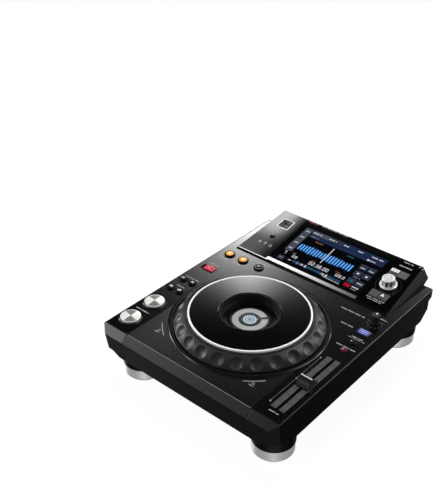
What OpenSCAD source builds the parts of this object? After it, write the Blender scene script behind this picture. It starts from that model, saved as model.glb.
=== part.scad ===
// Tabletop player for DJs: a case on four round feet, a large jog dial, a tilted touch display
// with a rotary selector, transport buttons on the left and a tempo fader on the right.
// Millimetres, +Z up, +Y to the rear. The origin is the middle of the footprint, on the table.

/* [Case] */
// Height of the deck above the table
deck_h = 89; // [84:1:96]
// Height of the side walls
wall_h = 46; // [44:1:50]
// Thickness of the moulded walls
wall_t = 3; // [2.6:0.2:4]
// Thickness of the deck plate and of the front panel
deck_t = 3; // [2.6:0.2:3.6]
// Width of the rim that frames the deck plate
rim_w = 1.8; // [1:0.2:2.2]
// Width of each control strip beside the jog dial
strip_w = 39.5; // [38:0.5:46]
// Free depth between the deck's front edge and the jog dial's surround
front_gap = 17.5; // [15:0.5:28]
// Free depth between the jog dial's surround and the display
mid_gap = 20.5; // [17:0.5:28]
// Forward reach of the front bevel
bevel_d = 10; // [7:1:13]
// Height of the front bevel
bevel_h = 10; // [7:1:13]
// Set-back of the front face at its lower edge
front_rake = 6; // [4:0.5:9]
// Chamfer of the two front corners
corner_c = 10; // [6:1:12]
// Gap along the seams between the mouldings
seam = 0.8; // [0.4:0.1:1.2]
// Height of the deck's lip at the rear
lip_h = 13.6; // [11:0.2:15]
// Overhang of that lip over the rear wall
lip_d = 7.5; // [5:0.5:9]
// Height of the slanted tail of the side walls
tail_h = 14; // [10:1:16]
// Depth of the slanted tail
tail_d = 17; // [14:1:22]
// Width of the rear cheeks beside the connector recess
cheek_w = 10; // [7:1:14]
// Inset from the side wall where the underside starts to rise at the front corners
relief_w = 30; // [26:1:34]
// Rise of the underside at the front corners
relief_h = 8; // [5:1:10]
// Depth of that raised underside behind the deck's front edge
relief_d = 30; // [24:1:34]
// Thickness of the bottom pan's sheet
pan_t = 1.5; // [1:0.1:2]

/* [Feet] */
// Radius of a foot's collar
foot_r = 29.8; // [26:0.2:32]
// Radius of a foot's metal band
band_r = 28.8; // [25:0.2:29]
// Height of the metal band
band_h = 17.4; // [14:0.2:20]
// Thickness of the rubber pad
pad_t = 2.4; // [1.6:0.2:3.6]
// Distance of the foot's axis from the side wall
foot_in = 35.4; // [33:0.2:40]
// Distance of the front feet from the front edge
foot_front = 47; // [42:1:56]
// Distance of the rear feet from the rear edge
foot_rear = 31.5; // [27:0.5:40]

/* [Jog dial] */
// Radius of the dial
jog_r = 103; // [98:0.5:108]
// Height of the dial's top plate above the deck
jog_h = 19; // [17:0.5:22]
// Outer radius of the bright trim ring
trim_r = 86.4; // [82:0.2:88]
// Width of the trim ring
trim_w = 2.6; // [1.6:0.2:4]
// Radius of the well round the centre display
well_r = 43; // [41:0.5:47]
// Radius of the opening in the well's floor
hub_r = 32; // [31:0.5:34]
// Depth of the well below the top plate
well_d = 13.5; // [11:0.5:15]
// Bulge of the dial's rim
rim_bulge = 2.2; // [1.6:0.2:3]
// Number of finger dimples round the rim
dimples = 24; // [18:1:28]
// Radius of a dimple's hollow across the rim's slope
dimple_r = 9.6; // [8.6:0.2:10.4]
// Radius of a dimple's hollow along the slope
dimple_l = 20; // [16:1:24]
// Depth of a dimple
dimple_d = 3.3; // [2.3:0.1:3.4]
// Gap between the dial and its surround
jog_gap = 1.2; // [0.8:0.2:2]
// Width of the fixed surround
ring_w = 9.3; // [8:0.1:10]
// Rise of the surround's lip above the deck
ring_h = 2.6; // [1.6:0.2:3.4]
// Press travel of the top plate
plate_travel = 0.5; // [0.3:0.1:0.8]
// Radius of the fixed post
post_r = 24; // [22:0.5:25]
// Number of slots in the encoder disc
disc_slots = 36; // [24:1:48]

/* [Display] */
// Overhang of the display behind the deck's rear edge
disp_over = 11; // [7:1:14]
// Plan depth of the display
disp_d = 115; // [112:1:124]
// Height of the display's rear edge above the deck
disp_h = 22.3; // [19:0.1:25]
// Height of the display's front lip above the deck
disp_lip = 2.4; // [2.2:0.1:3.4]
// Plan depth of the front lip's slope
disp_run = 3.5; // [2.5:0.1:5]
// Inset of the display's base from the side walls
disp_in = 15; // [12:1:18]
// Lean of the display's side faces
disp_lean = 35; // [28:1:40]
// Flare of the display's side faces to the rear
disp_flare = 3.2; // [2:0.1:4]
// Height of the display's overhanging rear foot above the deck
disp_foot = 7; // [5:0.5:9]
// Width of the cover glass
glass_w = 162; // [156:1:168]
// Length of the cover glass up the slope
glass_l = 93; // [90:1:96]
// Thickness of the cover glass and of the two panels beside it
panel_t = 2.2; // [1.8:0.2:2.6]
// Depth up the slope of the bright strip below the glass
trim_l = 6.6; // [5:0.2:7.2]
// Thickness of that strip
trim_t = 1.2; // [0.8:0.1:1.4]
// Margin of the display module inside the glass's edge
lcd_edge = 2; // [1.5:0.1:5]
// Thickness of the display module
lcd_t = 6; // [4:0.5:7]

/* [Selector and keys] */
// Distance of the selector from the right wall
selector_in = 47; // [45:1:50]
// Place of the selector up the slope
selector_v = 52; // [50:1:54]
// Radius of the selector's flange
selector_r = 13; // [11:0.5:14]
// Height of the selector knob
selector_h = 15; // [12:0.5:18]
// Press travel of the selector
selector_travel = 0.8; // [0.5:0.1:1]
// Place of the lower pair of keys up the slope
keys_low_v = 26.7; // [24:0.1:28]
// Place of the upper pair of keys up the slope
keys_high_v = 81; // [79:0.5:84]
// Side of a key
key_w = 14; // [12:0.5:14.4]
// Pitch of a pair of keys
key_pitch = 15; // [14.6:0.1:16]
// Distance of the memory port from the left wall
port_in = 48.5; // [46:0.5:52]
// Distance of the memory port from the slope's upper edge
port_back = 29.3; // [27.6:0.1:33]
// Width of the memory port's well
port_w = 15; // [14:0.5:17]
// Length of the memory port's well
port_l = 16; // [15:0.5:18]
// Depth of the memory port's well
port_d = 8; // [7:0.5:8]
// Width of the lit frame round the port
frame_w = 3; // [2:0.2:3.6]
// Place of the release button up the slope
release_v = 48.5; // [44:0.5:54]
// Radius of the release button
release_r = 4; // [3:0.2:5]

/* [Left controls] */
// Distance of the control columns from the side walls
column_in = 20.6; // [20:0.1:21.6]
// Place of the play button behind the deck's front edge
play_y = 30; // [27:0.5:33]
// Place of the cue button
cue_y = 77.5; // [74:0.5:80]
// Radius of the play and cue buttons
transport_r = 14.5; // [13:0.1:15]
// Width of the ring round those buttons
transport_ring = 2.2; // [1.6:0.1:2.4]
// Place of the two track buttons
track_y = 147.5; // [144:0.5:151]
// Distance from the track buttons to the search buttons before them
seek_row = 27.5; // [25:0.5:31]
// Radius of the search and track buttons
seek_r = 6.4; // [5.5:0.1:6.6]
// Pitch of the search and track pairs
seek_pitch = 17; // [16.6:0.1:17.6]
// Place of the direction lever
lever_y = 193.5; // [189:0.5:198]
// Width of the direction lever
lever_w = 18; // [16:0.5:22]
// Depth of the direction lever
lever_d = 11; // [9:0.5:13]
// Rise of the direction lever above the deck
lever_up = 2.2; // [1.6:0.2:4]
// Travel of the direction lever
lever_travel = 5; // [4:0.5:6]
// Place of the loop buttons
loop_y = 244.5; // [241:0.5:247]
// Radius of the loop buttons
loop_r = 8.4; // [7.4:0.1:8.8]
// Pitch of the two loop buttons
loop_pitch = 26.8; // [25:0.1:28]
// Distance from the first loop button to the reloop button
reloop_pitch = 57.6; // [55:0.2:60]
// Radius of the reloop button
reloop_r = 7.6; // [6.6:0.1:8]

/* [Right controls] */
// Distance of the tempo fader from the right wall
fader_in = 19.4; // [18:0.1:21]
// Place of the fader's centre behind the deck's front edge
fader_y = 79.5; // [76:0.5:84]
// Travel of the fader
fader_travel = 100; // [90:1:106]
// Width of the fader's cap
cap_w = 17.5; // [14:0.5:19]
// Depth of the fader's cap
cap_d = 22; // [18:0.5:25]
// Height of the fader's cap
cap_h = 12; // [10:0.5:14]
// Place of the tempo lock button
lock_y = 166; // [164:0.5:168]
// Place of the tempo range button
range_y = 187.5; // [186:0.5:189]
// Radius of those two buttons
small_r = 5; // [4:0.1:5.4]
// Place of the jog mode button
mode_y = 214.5; // [212:0.5:216]
// Width of the jog mode button
mode_w = 17; // [14:0.5:18]
// Depth of the jog mode button
mode_d = 11; // [9:0.5:11.5]
// Place of the speed knob
speed_y = 243; // [241:0.5:246]
// Radius of the speed knob
speed_r = 7.2; // [6:0.2:8]
// Height of the speed knob
speed_h = 15; // [12:0.5:17]

/* [Fits] */
// Clearance round caps, panels and plates
clear = 0.4; // [0.3:0.1:0.6]
// Radial clearance of a running shaft
run_fit = 0.05; // [0.02:0.01:0.08]
// Press travel of the buttons
press = 1.5; // [1:0.1:1.8]
// Gap between a resting cap's flange and the plate above it
rest_gap = 0.3; // [0.3:0.1:0.5]
// Width of the retaining flange of a cap
flange_w = 1.3; // [1:0.1:1.5]
// Thickness of the retaining flange of a cap
flange_t = 1.6; // [1.2:0.2:2]
// Depth of the key boards below the deck
board_depth = 15; // [14:0.5:18]
// Thickness of the circuit boards
board_t = 1.6; // [1.2:0.2:2]
// Height of a key switch
switch_h = 4.5; // [3.5:0.5:5]

/* [Rear] */
// Depth of a rear connector's flange
jack_flange = 2; // [1:0.2:3]
// Length of a round jack's barrel
jack_l = 9; // [7:0.5:11]
// Height of the connectors' axis above the bottom pan
jack_z = 20; // [18:0.5:22]
// Travel of the power button
power_travel = 3; // [2:0.5:4]

/* [Hidden] */
$fn = 96;
// A small overrun for cuts
over = 1;

// Plan of the case
ring_r = jog_r + jog_gap + ring_w;
case_w = 2 * (ring_r + strip_w);
half_w = case_w / 2;
overall_d = bevel_d + front_gap + 2 * ring_r + mid_gap + disp_d;
front_y = -overall_d / 2;
deck_y = front_y + bevel_d;
jog_y = deck_y + front_gap + ring_r;
disp_front = jog_y + ring_r + mid_gap;
disp_rear = disp_front + disp_d;
rear_y = disp_rear - disp_over;
seam_in = 4.5;
seam_x = ring_r - seam_in;
hole_r = ring_r + clear;
panel_tip = 2;
tip_x = seam_x - panel_tip;
panel_end = jog_y - sqrt(hole_r * hole_r - tip_x * tip_x);

// Heights
base_z = deck_h - wall_h;
under_z = deck_h - deck_t;
pan_top = base_z + pan_t;
board_z = deck_h - board_depth;
switch_z = board_z + switch_h;
stem_z = switch_z + press + rest_gap;

// Inner lines of the case
ledge_w = 2.2;
rear_in = rear_y - lip_d - wall_t;
panel_y = rear_in - tail_d;
rear_plate_t = 1.5;
lip_slope = 4.4;
rib_y = deck_y + deck_t + ledge_w;

// Columns of controls
left_x = -half_w + column_in;
right_x = half_w - column_in;
search_y = track_y - seek_row;
fader_x = half_w - fader_in;

// The display's slope
slope_y = disp_front + disp_run;
slope_z = deck_h + disp_lip;
disp_tilt = atan((disp_h - disp_lip) / (disp_rear - slope_y));
disp_half = half_w - disp_in;
slope_l = (disp_rear - slope_y) / cos(disp_tilt);
glass_v = trim_l + 1.4;
panel_v = 1;
side_x = glass_w / 2 + clear;
selector_x = half_w - selector_in;
port_x = -half_w + port_in;
port_v = slope_l - port_back;
lcd_w = glass_w - 2 * lcd_edge;
lcd_l = glass_l - 2 * lcd_edge;
key_hole = key_w + 2 * clear;
slope_board = 13;
slope_switch = 3;

// The jog dial, measured from the deck
dial_low = 1;
rim_low = 3.4;
rim_top = jog_h - 2;
rim_in = trim_r + 2.6;
seat_z = jog_h - 5.2;
groove = 0.8;
web_t = 3;
floor_z = jog_h - well_d;
hub_wall = 4;
hub_low = -12.2;
shoulder_z = -14;
bearing_top = -4;
carrier_z = -24;
carrier_t = 2;
disc_z = -10;
disc_t = 1;
disc_r = hub_r + 15;
boss_ring = 95;
boss_angle = 35;
boss_r = 5;

function dy(y) = deck_y + y;
function dome_r(r, rise) = (r * r + rise * rise) / (2 * rise);

// Children drawn in the Y and Z plane, extruded along X and centred
module along_x(w) rotate([90, 0, 90]) translate([0, 0, -w / 2]) linear_extrude(w) children();

// Both sides of the case's middle plane
module both_sides() {
    children();
    mirror([1, 0, 0]) children();
}

// The display's frame: X across, Y up the slope, Z square to it
module on_slope() translate([0, slope_y, slope_z]) rotate([disp_tilt, 0, 0]) children();

// A box from its middle in X and Y and its two heights
module block(w, d, z0, z1) translate([-w / 2, -d / 2, z0]) cube([w, d, z1 - z0]);

// A round rod between two heights
module rod(r, z0, z1) translate([0, 0, z0]) cylinder(r = r, h = z1 - z0);

// A round rod with a domed top
module domed(r, z0, z1, rise) {
    ball = dome_r(r, rise);
    intersection() {
        rod(r, z0, z1);
        translate([0, 0, z1 - ball]) sphere(ball);
    }
}

// The whole outer form of the case
module case_solid() {
    difference() {
        along_x(case_w) polygon([
            [deck_y, deck_h],
            [front_y, deck_h - bevel_h],
            [front_y + front_rake, base_z],
            [rear_y - lip_d - tail_d, base_z],
            [rear_y - lip_d, base_z + tail_h],
            [rear_y - lip_d, deck_h - lip_h - lip_slope],
            [rear_y, deck_h - lip_h],
            [rear_y, deck_h]]);
        both_sides() corner_cut(0);
        both_sides() relief(0);
    }
}

// The chamfer of the right front corner, leaning with the front face, grown by a wall
module corner_cut(grow) {
    lean = atan(front_rake / (wall_h - bevel_h));
    reach = 2 * wall_h;
    cut = corner_c + grow * sqrt(2);
    translate([half_w, front_y, deck_h - bevel_h]) rotate([lean, 0, 0])
        translate([0, 0, -reach]) linear_extrude(2 * reach)
            polygon([[0, cut], [-cut, 0], [-cut, -cut], [over, -cut], [over, cut]]);
}

// The raised underside at the right front corner, grown by a wall
module relief(grow) {
    slant = 12;
    x0 = half_w - relief_w - grow;
    far = half_w + over;
    top = base_z + relief_h + grow;
    translate([0, deck_y + relief_d + grow, 0]) rotate([90, 0, 0])
        linear_extrude(relief_d + bevel_d + grow + over)
            polygon([[x0, base_z - over], [x0, base_z], [x0 + slant, top], [far, top], [far, base_z - over]]);
}

// The hollow of the case
module case_cavity() {
    difference() {
        along_x(case_w - 2 * wall_t) polygon([
            [front_y + front_rake + wall_t, base_z - over],
            [front_y + front_rake + wall_t, base_z],
            [front_y + wall_t + over, deck_h - bevel_h - over],
            [deck_y + rim_w + ledge_w, under_z],
            [deck_y + rim_w + ledge_w, deck_h + over],
            [rear_in, deck_h + over],
            [rear_in, base_z + tail_h],
            [rear_in - tail_d, base_z],
            [rear_in - tail_d, base_z - over]]);
        both_sides() relief(wall_t);
        both_sides() corner_cut(wall_t);
    }
}

// The outer form of the display
module wedge_solid() {
    size = 2 * disp_d;
    difference() {
        along_x(2 * disp_half) polygon([
            [disp_front, deck_h],
            [slope_y, slope_z],
            [disp_rear, deck_h + disp_h],
            [disp_rear, deck_h + disp_foot],
            [rear_y, deck_h]]);
        both_sides() translate([disp_half - disp_lip, disp_front, slope_z])
            rotate([0, 0, -disp_flare]) rotate([0, -disp_lean, 0])
                translate([0, -disp_in, -size / 2]) cube([size, size, size]);
    }
}

// A plate of the display's top, between two places across, as deep as the panels
module slope_plate(x0, x1) {
    intersection() {
        wedge_solid();
        on_slope() translate([x0, panel_v, -panel_t]) cube([x1 - x0, slope_l, 2 * panel_t]);
    }
}

module base_pan() {
    inner_x = half_w - wall_t - clear;
    y0 = front_y + front_rake + wall_t + clear;
    y1 = panel_y;
    edge_h = 8;
    vents = 9;
    vent_pitch = 7;
    color("dimgray") difference() {
        union() {
            translate([-inner_x, y0, base_z]) cube([2 * inner_x, y1 - y0, pan_t]);
            both_sides() translate([inner_x - pan_t, y0 + relief_d + 2 * bevel_d, base_z])
                cube([pan_t, y1 - y0 - relief_d - 2 * bevel_d - tail_d, edge_h]);
            translate([0, jog_y, 0]) carrier_places()
                rod(boss_r, base_z, deck_h + carrier_z - carrier_t);
            main_board_places() rod(boss_r - 1, base_z, pan_top + board_depth / 2);
            power_board_places() rod(boss_r - 1, base_z, pan_top + board_depth / 2);
        }
        both_sides() relief(wall_t + clear);
        for (row = [-1, 1], i = [0 : vents - 1])
            translate([row * ring_r / 2, jog_y + (i - (vents - 1) / 2) * vent_pitch, 0])
                block(ring_r / 2, vent_pitch / 2, base_z - over, pan_top + over);
        bottom_screw_places() rod(screw_r + clear / 2, base_z - over, pan_top + over);
        both_sides() foot_places() rod(screw_r + clear, base_z - over, pan_top + over);
    }
}

module carrier_places() {
    for (a = [boss_angle, 180 - boss_angle, 180 + boss_angle, -boss_angle])
        rotate(a) translate([boss_ring, 0, 0]) children();
}

module housing() {
    seat_y0 = deck_y + rim_w;
    seat_y1 = rear_y - rim_w;
    chamfer = 1;
    color([0.09, 0.09, 0.1]) difference() {
        union() {
            difference() {
                case_solid();
                case_cavity();
                translate([-half_w + rim_w, seat_y0, under_z])
                    cube([case_w - 2 * rim_w, seat_y1 - seat_y0, deck_t + over]);
                // The zone of the front panel
                translate([-seam_x - seam / 2, front_y - over, base_z - over])
                    cube([2 * seam_x + seam, rib_y - front_y + over, wall_h + 2 * over]);
                // The connector recess between the rear cheeks
                translate([-half_w + cheek_w, rear_in - tail_d - over, base_z - over])
                    cube([case_w - 2 * cheek_w, tail_d + lip_d + wall_t + 2 * over,
                        wall_h - lip_h - lip_slope + over]);
            }
            // Rib that carries the front panel
            translate([-half_w + wall_t / 2, rib_y, base_z + relief_h + 2 * wall_t])
                cube([case_w - wall_t, wall_t, under_z - base_z - relief_h - 2 * wall_t]);
        }
        // Long top edges
        both_sides() translate([half_w, 0, deck_h]) rotate([0, 45, 0])
            cube([chamfer, 2 * overall_d, chamfer], center = true);
    }
}

// The holes of the controls in the deck plate
module deck_cuts() {
    low = under_z - over;
    high = deck_h + 2 * over;
    for (y = [play_y, cue_y]) translate([left_x, dy(y), 0])
        rod(transport_r + transport_ring + clear, low, high);
    for (y = [search_y, track_y], s = [-1, 1])
        translate([left_x + s * seek_pitch / 2, dy(y), 0]) rod(seek_r + clear, low, high);
    for (x = [0, loop_pitch]) translate([left_x + x, dy(loop_y), 0]) rod(loop_r + clear, low, high);
    translate([left_x + reloop_pitch, dy(loop_y), 0]) rod(reloop_r + clear, low, high);
    translate([left_x, dy(lever_y), 0])
        block(lever_w + lever_travel + 2 * clear, lever_d + 2 * clear, low, high);
    translate([fader_x, dy(fader_y), 0]) block(fader_slot, fader_travel + fader_stem + 2 * clear, low, high);
    for (y = [lock_y, range_y]) translate([right_x, dy(y), 0]) rod(small_r + clear, low, high);
    translate([right_x, dy(mode_y), 0]) block(mode_w + 2 * clear, mode_d + 2 * clear, low, high);
    translate([right_x, dy(speed_y), 0]) rod(pot_bush + clear, low, high);
}

// The places of the bosses that carry the key boards
module board_bosses_left() {
    // Midway between the edges of the cue hole and the search holes
    cue_end = cue_y + transport_r + transport_ring;
    search_start = search_y - seek_r;
    for (y = [(play_y + cue_y) / 2, (cue_end + search_start) / 2, (track_y + lever_y) / 2,
            (lever_y + loop_y) / 2])
        translate([left_x, dy(y), 0]) children();
    translate([left_x + (loop_pitch + reloop_pitch) / 2, dy(loop_y), 0]) children();
}

module board_bosses_right() {
    for (y = [(lock_y + range_y) / 2, (range_y + mode_y) / 2, (mode_y + speed_y) / 2])
        translate([right_x, dy(y), 0]) children();
}

boss_small = 2.2;
bezel_w = 1.6;
bezel_h = 1;

module deck_plate() {
    x1 = half_w - rim_w - clear / 2;
    y0 = deck_y + rim_w + clear / 2;
    y1 = rear_y - rim_w - clear / 2;
    open_x = disp_half - 14;
    bezel = 2 * (bezel_w + clear);
    color([0.12, 0.12, 0.13]) difference() {
        union() {
            translate([-x1, y0, under_z]) cube([2 * x1, y1 - y0, deck_t]);
            board_bosses_left() rod(boss_small, board_z, under_z + over);
            board_bosses_right() rod(boss_small, board_z, under_z + over);
            translate([right_x, dy(mode_y), 0])
                block(mode_w + bezel, mode_d + bezel, under_z, deck_h + bezel_h);
        }
        translate([0, jog_y, 0]) rod(hole_r, under_z - over, deck_h + over);
        translate([-seam_x - seam / 2, y0 - over, under_z - over])
            cube([2 * seam_x + seam, panel_end + seam - y0 + over, deck_t + 2 * over]);
        deck_cuts();
        // Opening below the display
        translate([-open_x, slope_y + panel_v + over, under_z - over])
            cube([2 * open_x, rear_in - 2 * over - slope_y - panel_v, deck_t + 2 * over]);
    }
}

module front_panel() {
    back = front_y + front_rake + deck_t;
    color([0.2, 0.2, 0.21]) difference() {
        intersection() {
            case_solid();
            translate([-seam_x + seam / 2, front_y - over, base_z])
                cube([2 * seam_x - seam, panel_end - front_y + over, wall_h + over]);
        }
        along_x(case_w) polygon([
            [back, base_z - over],
            [back, base_z],
            [front_y + deck_t + over, deck_h - bevel_h - over],
            [deck_y + over, under_z],
            [panel_end + over, under_z],
            [panel_end + over, base_z - over]]);
        translate([0, jog_y, 0]) rod(hole_r, under_z - over, deck_h + over);
    }
}

module jog_surround() {
    flange_r = ring_r + 1.8;
    flange_in = jog_r - 5;
    flange_z = -deck_t - 3;
    lip_out = ring_r - 2;
    inner = jog_r + jog_gap;
    color([0.05, 0.05, 0.06]) translate([0, jog_y, deck_h]) rotate_extrude() polygon([
        [flange_in, flange_z], [flange_r, flange_z], [flange_r, -deck_t], [ring_r, -deck_t], [ring_r, 0.4],
        [lip_out, ring_h], [lip_out - 1.2, ring_h], [inner, -0.6], [inner, -deck_t], [flange_in, -deck_t]]);
}

// The rim's section of the jog dial: a chord with a round bulge
rim_a = [jog_r, rim_low];
rim_b = [rim_in, rim_top];
rim_chord = norm(rim_b - rim_a);
rim_t = (rim_b - rim_a) / rim_chord;
rim_n = [rim_t[1], -rim_t[0]];
rim_ball = dome_r(rim_chord / 2, rim_bulge);
rim_mid = (rim_a + rim_b) / 2;

module jog_dial() {
    groove_r = trim_r + groove;
    well_foot = hub_r + 5.5;
    hub_out = hub_r + hub_wall;
    web_z = seat_z - web_t;
    lip_z = jog_h - 0.4;
    bore = hub_r + run_fit;
    crown = rim_bulge + over;
    foot_w = 4.4;
    color([0.13, 0.13, 0.14]) translate([0, jog_y, deck_h]) difference() {
        rotate_extrude() union() {
            polygon([
                [jog_r, dial_low], rim_a, rim_b, [groove_r, rim_top], [groove_r, seat_z],
                [well_r, seat_z], [well_r, lip_z - 0.6], [well_r - 0.6, lip_z], [well_r - 1.8, lip_z],
                [well_foot, floor_z + 0.6], [hub_r + 1, floor_z], [hub_r + clear, floor_z],
                [hub_r + clear, bearing_top + over], [bore, bearing_top], [bore, hub_low],
                [hub_out, hub_low], [hub_out, disc_z + disc_t], [hub_out + 4, disc_z + disc_t],
                [hub_out + 4, disc_z + 4], [hub_out + 2, disc_z + 6], [hub_out + 2, web_z - 2],
                [hub_out + 4, web_z], [rim_in - 3, web_z], [jog_r - 2 * foot_w, rim_low],
                [jog_r - foot_w, dial_low]]);
            intersection() {
                translate(rim_mid - rim_n * (rim_ball - rim_bulge)) circle(rim_ball);
                polygon([rim_a, rim_b, rim_b + rim_n * crown, rim_a + rim_n * crown]);
            }
        }
        for (i = [0 : dimples - 1]) rotate(i * 360 / dimples) dimple();
    }
}

// A finger's oval hollow in the rim's slope, a little below its middle: a bow turned about its chord
module dimple() {
    below = 0.13;
    axis = rim_mid - rim_t * (below * rim_chord) + rim_n * (rim_bulge - dimple_d + dimple_r);
    translate([axis[0], 0, axis[1]]) rotate([0, atan2(rim_t[0], rim_t[1]), 0])
        rotate_extrude() intersection() {
            translate([dimple_r - dimple_l, 0]) circle(dimple_l);
            translate([0, -dimple_l]) square([dimple_r, 2 * dimple_l]);
        }
}

// The step of the top plate that carries the trim ring
step_z = jog_h - 2.4;
ring_slip = 0.1;
plate_edge = 0.6;
ring_edge = 0.5;

module jog_plate() {
    low = seat_z + plate_travel + ring_slip;
    step_r = trim_r - trim_w - ring_slip;
    inner = well_r + groove;
    color([0.06, 0.06, 0.07]) translate([0, jog_y, deck_h]) rotate_extrude() polygon([
        [inner, low], [trim_r, low], [trim_r, step_z], [step_r, step_z], [step_r, jog_h],
        [inner + plate_edge, jog_h], [inner, jog_h - plate_edge]]);
}

module jog_trim_ring() {
    inner = trim_r - trim_w;
    color("white") translate([0, jog_y, deck_h]) rotate_extrude() polygon([
        [inner, step_z], [trim_r, step_z], [trim_r, jog_h], [trim_r - ring_edge, jog_h + ring_edge],
        [inner + ring_edge, jog_h + ring_edge], [inner, jog_h]]);
}

module jog_post() {
    bore = post_r - 5;
    color("gray") translate([0, jog_y, deck_h]) rotate_extrude() polygon([
        [bore, carrier_z], [hub_r + 8, carrier_z], [hub_r + 8, carrier_z + 3], [post_r + 3.5, carrier_z + 3],
        [post_r + 3.5, shoulder_z], [post_r, shoulder_z], [post_r, floor_z - 4.5], [bore, floor_z - 4.5]]);
}

module jog_bearing() {
    bore = post_r + run_fit;
    color("gold") translate([0, jog_y, deck_h]) rotate_extrude() polygon([
        [bore, shoulder_z], [hub_r + hub_wall - 0.5, shoulder_z], [hub_r + hub_wall - 0.5, hub_low - 0.2],
        [hub_r, hub_low - 0.2], [hub_r, bearing_top], [bore, bearing_top]]);
}

module jog_encoder_disc() {
    slot_w = 1.6;
    color("darkslategray") translate([0, jog_y, deck_h + disc_z]) difference() {
        cylinder(r = disc_r, h = disc_t);
        rod(hub_r + hub_wall + 0.1, -over, disc_t + over);
        for (i = [0 : disc_slots - 1]) rotate(i * 360 / disc_slots)
            translate([disc_r - 3, 0, 0]) block(3, slot_w, -over, disc_t + over);
    }
}

module jog_sensor() {
    w = 10;
    in = disc_r - 3.5;
    out = disc_r + 6;
    color([0.15, 0.15, 0.18]) translate([0, jog_y, deck_h]) difference() {
        translate([-w / 2, in, carrier_z]) cube([w, out - in, disc_z + 6 - carrier_z]);
        translate([-w / 2 - over, in - over, disc_z - 2])
            cube([w + 2 * over, disc_r + 2 - in + over, disc_t + 4]);
    }
}

module jog_display() {
    r = hub_r - 0.6;
    base = floor_z - 4.5;
    color("slategray") translate([0, jog_y, deck_h]) rotate_extrude() polygon([
        [0, base], [r, base], [r, floor_z - 1.2], [r - 4, floor_z - 0.2], [r * 0.52, floor_z - 0.2],
        [r * 0.5, floor_z - 0.8], [0, floor_z - 0.8]]);
}

module jog_carrier() {
    arm_w = 24;
    bore = post_r - 5;
    color("silver") translate([0, jog_y, deck_h + carrier_z - carrier_t])
        linear_extrude(carrier_t) difference() {
            union() {
                circle(hub_r + 28);
                for (a = [boss_angle, -boss_angle]) rotate(a)
                    square([2 * boss_ring + arm_w, arm_w], center = true);
            }
            circle(bore);
            carrier_places() circle(screw_r);
        }
}

module display_housing() {
    deep = panel_t + wall_t;
    y0 = slope_y + 5 * deep;
    y1 = disp_rear - wall_t - 1;
    z1 = deck_h + disp_h - (disp_rear - y1) * tan(disp_tilt) - deep / cos(disp_tilt);
    z0 = z1 - (y1 - y0) * tan(disp_tilt);
    window_x = selector_in - disp_in - 11;
    color([0.1, 0.1, 0.11]) difference() {
        wedge_solid();
        // Seats of the glass, of the bright strip and of the two panels
        on_slope() {
            translate([0, glass_v + glass_l / 2, 0])
                block(glass_w + 2 * clear, glass_l + 2 * clear, -panel_t, over);
            translate([0, panel_v + (glass_v - panel_v) / 2, 0])
                block(glass_w + 2 * clear, glass_v - panel_v, -trim_t, over);
            both_sides() translate([side_x, panel_v, -panel_t]) cube([disp_half, 2 * slope_l, 2 * disp_h]);
            translate([0, glass_v + glass_l / 2, 0])
                block(lcd_w + 2 * clear, lcd_l + 2 * clear, -2 * disp_h, over);
            both_sides() translate([selector_x, slope_l / 2, 0])
                block(2 * window_x, slope_l - 8 * wall_t, -2 * disp_h, over);
        }
        along_x(2 * (selector_x + window_x)) polygon([
            [y0, deck_h - over], [y0, z0], [y1, z1], [y1, deck_h + disp_foot + 1],
            [rear_y - wall_t, deck_h - over]]);
    }
}

module usb_panel() {
    color([0.35, 0.35, 0.36]) difference() {
        union() {
            slope_plate(-disp_half, -side_x - clear);
            on_slope() for (s = [-1, 1]) translate([port_x, release_v + s * release_arm, 0])
                rod(boss_small, -slope_board, -panel_t / 2);
        }
        on_slope() {
            translate([port_x, port_v, 0]) block(port_out_w + clear, port_out_l + clear, -2 * panel_t, over);
            translate([port_x, release_v, 0]) rod(release_r + clear, -2 * panel_t, over);
        }
    }
}

port_wall = 1.2;
release_arm = 9;
port_out_w = port_w + 2 * port_wall;
port_out_l = port_l + 2 * port_wall;

module usb_socket() {
    mouth_w = 12.6;
    mouth_l = 5.2;
    mouth_d = 8.4;
    tongue_w = 11;
    tongue_t = 1.9;
    color("silver") on_slope() translate([port_x, port_v, 0]) {
        difference() {
            block(port_out_w, port_out_l, -port_d - mouth_d - port_wall, -0.1);
            block(port_w, port_l, -port_d, over);
            block(mouth_w, mouth_l, -port_d - mouth_d, -port_d + over);
        }
        translate([0, (mouth_l - tongue_t) / 2 - 1, 0])
            block(tongue_w, tongue_t, -port_d - mouth_d - port_wall / 2, -port_d - 2);
    }
}

module usb_frame() {
    color("white") on_slope() translate([port_x, port_v, 0]) difference() {
        block(port_w + 2 * frame_w, port_l + 2 * frame_w, 0, 0.9);
        block(port_w, port_l, -over, over + 0.9);
    }
}

module usb_stop_button() {
    color("black") on_slope() translate([port_x, release_v, 0]) {
        domed(release_r, -panel_t - 1, 1.4, 0.6);
        rod(release_r + flange_w, -panel_t - rest_gap - flange_t, -panel_t - rest_gap);
        rod(release_r / 2, -slope_board + slope_switch + press + rest_gap, -panel_t);
    }
}

module screen_glass() {
    color([0.02, 0.02, 0.03]) on_slope() translate([0, glass_v + glass_l / 2, 0])
        block(glass_w, glass_l, -panel_t, 0);
}

module lcd_module() {
    color("steelblue") on_slope() translate([0, glass_v + glass_l / 2, 0])
        block(lcd_w, lcd_l, -panel_t - lcd_t, -panel_t);
}

module display_trim() {
    round_t = 0.4;
    v0 = panel_v + clear;
    v1 = glass_v - clear;
    color("silver") on_slope() along_x(glass_w) polygon([
        [v0, -trim_t], [v1, -trim_t], [v1, 0], [v1 - round_t, round_t], [v0 + round_t, round_t], [v0, 0]]);
}

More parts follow.
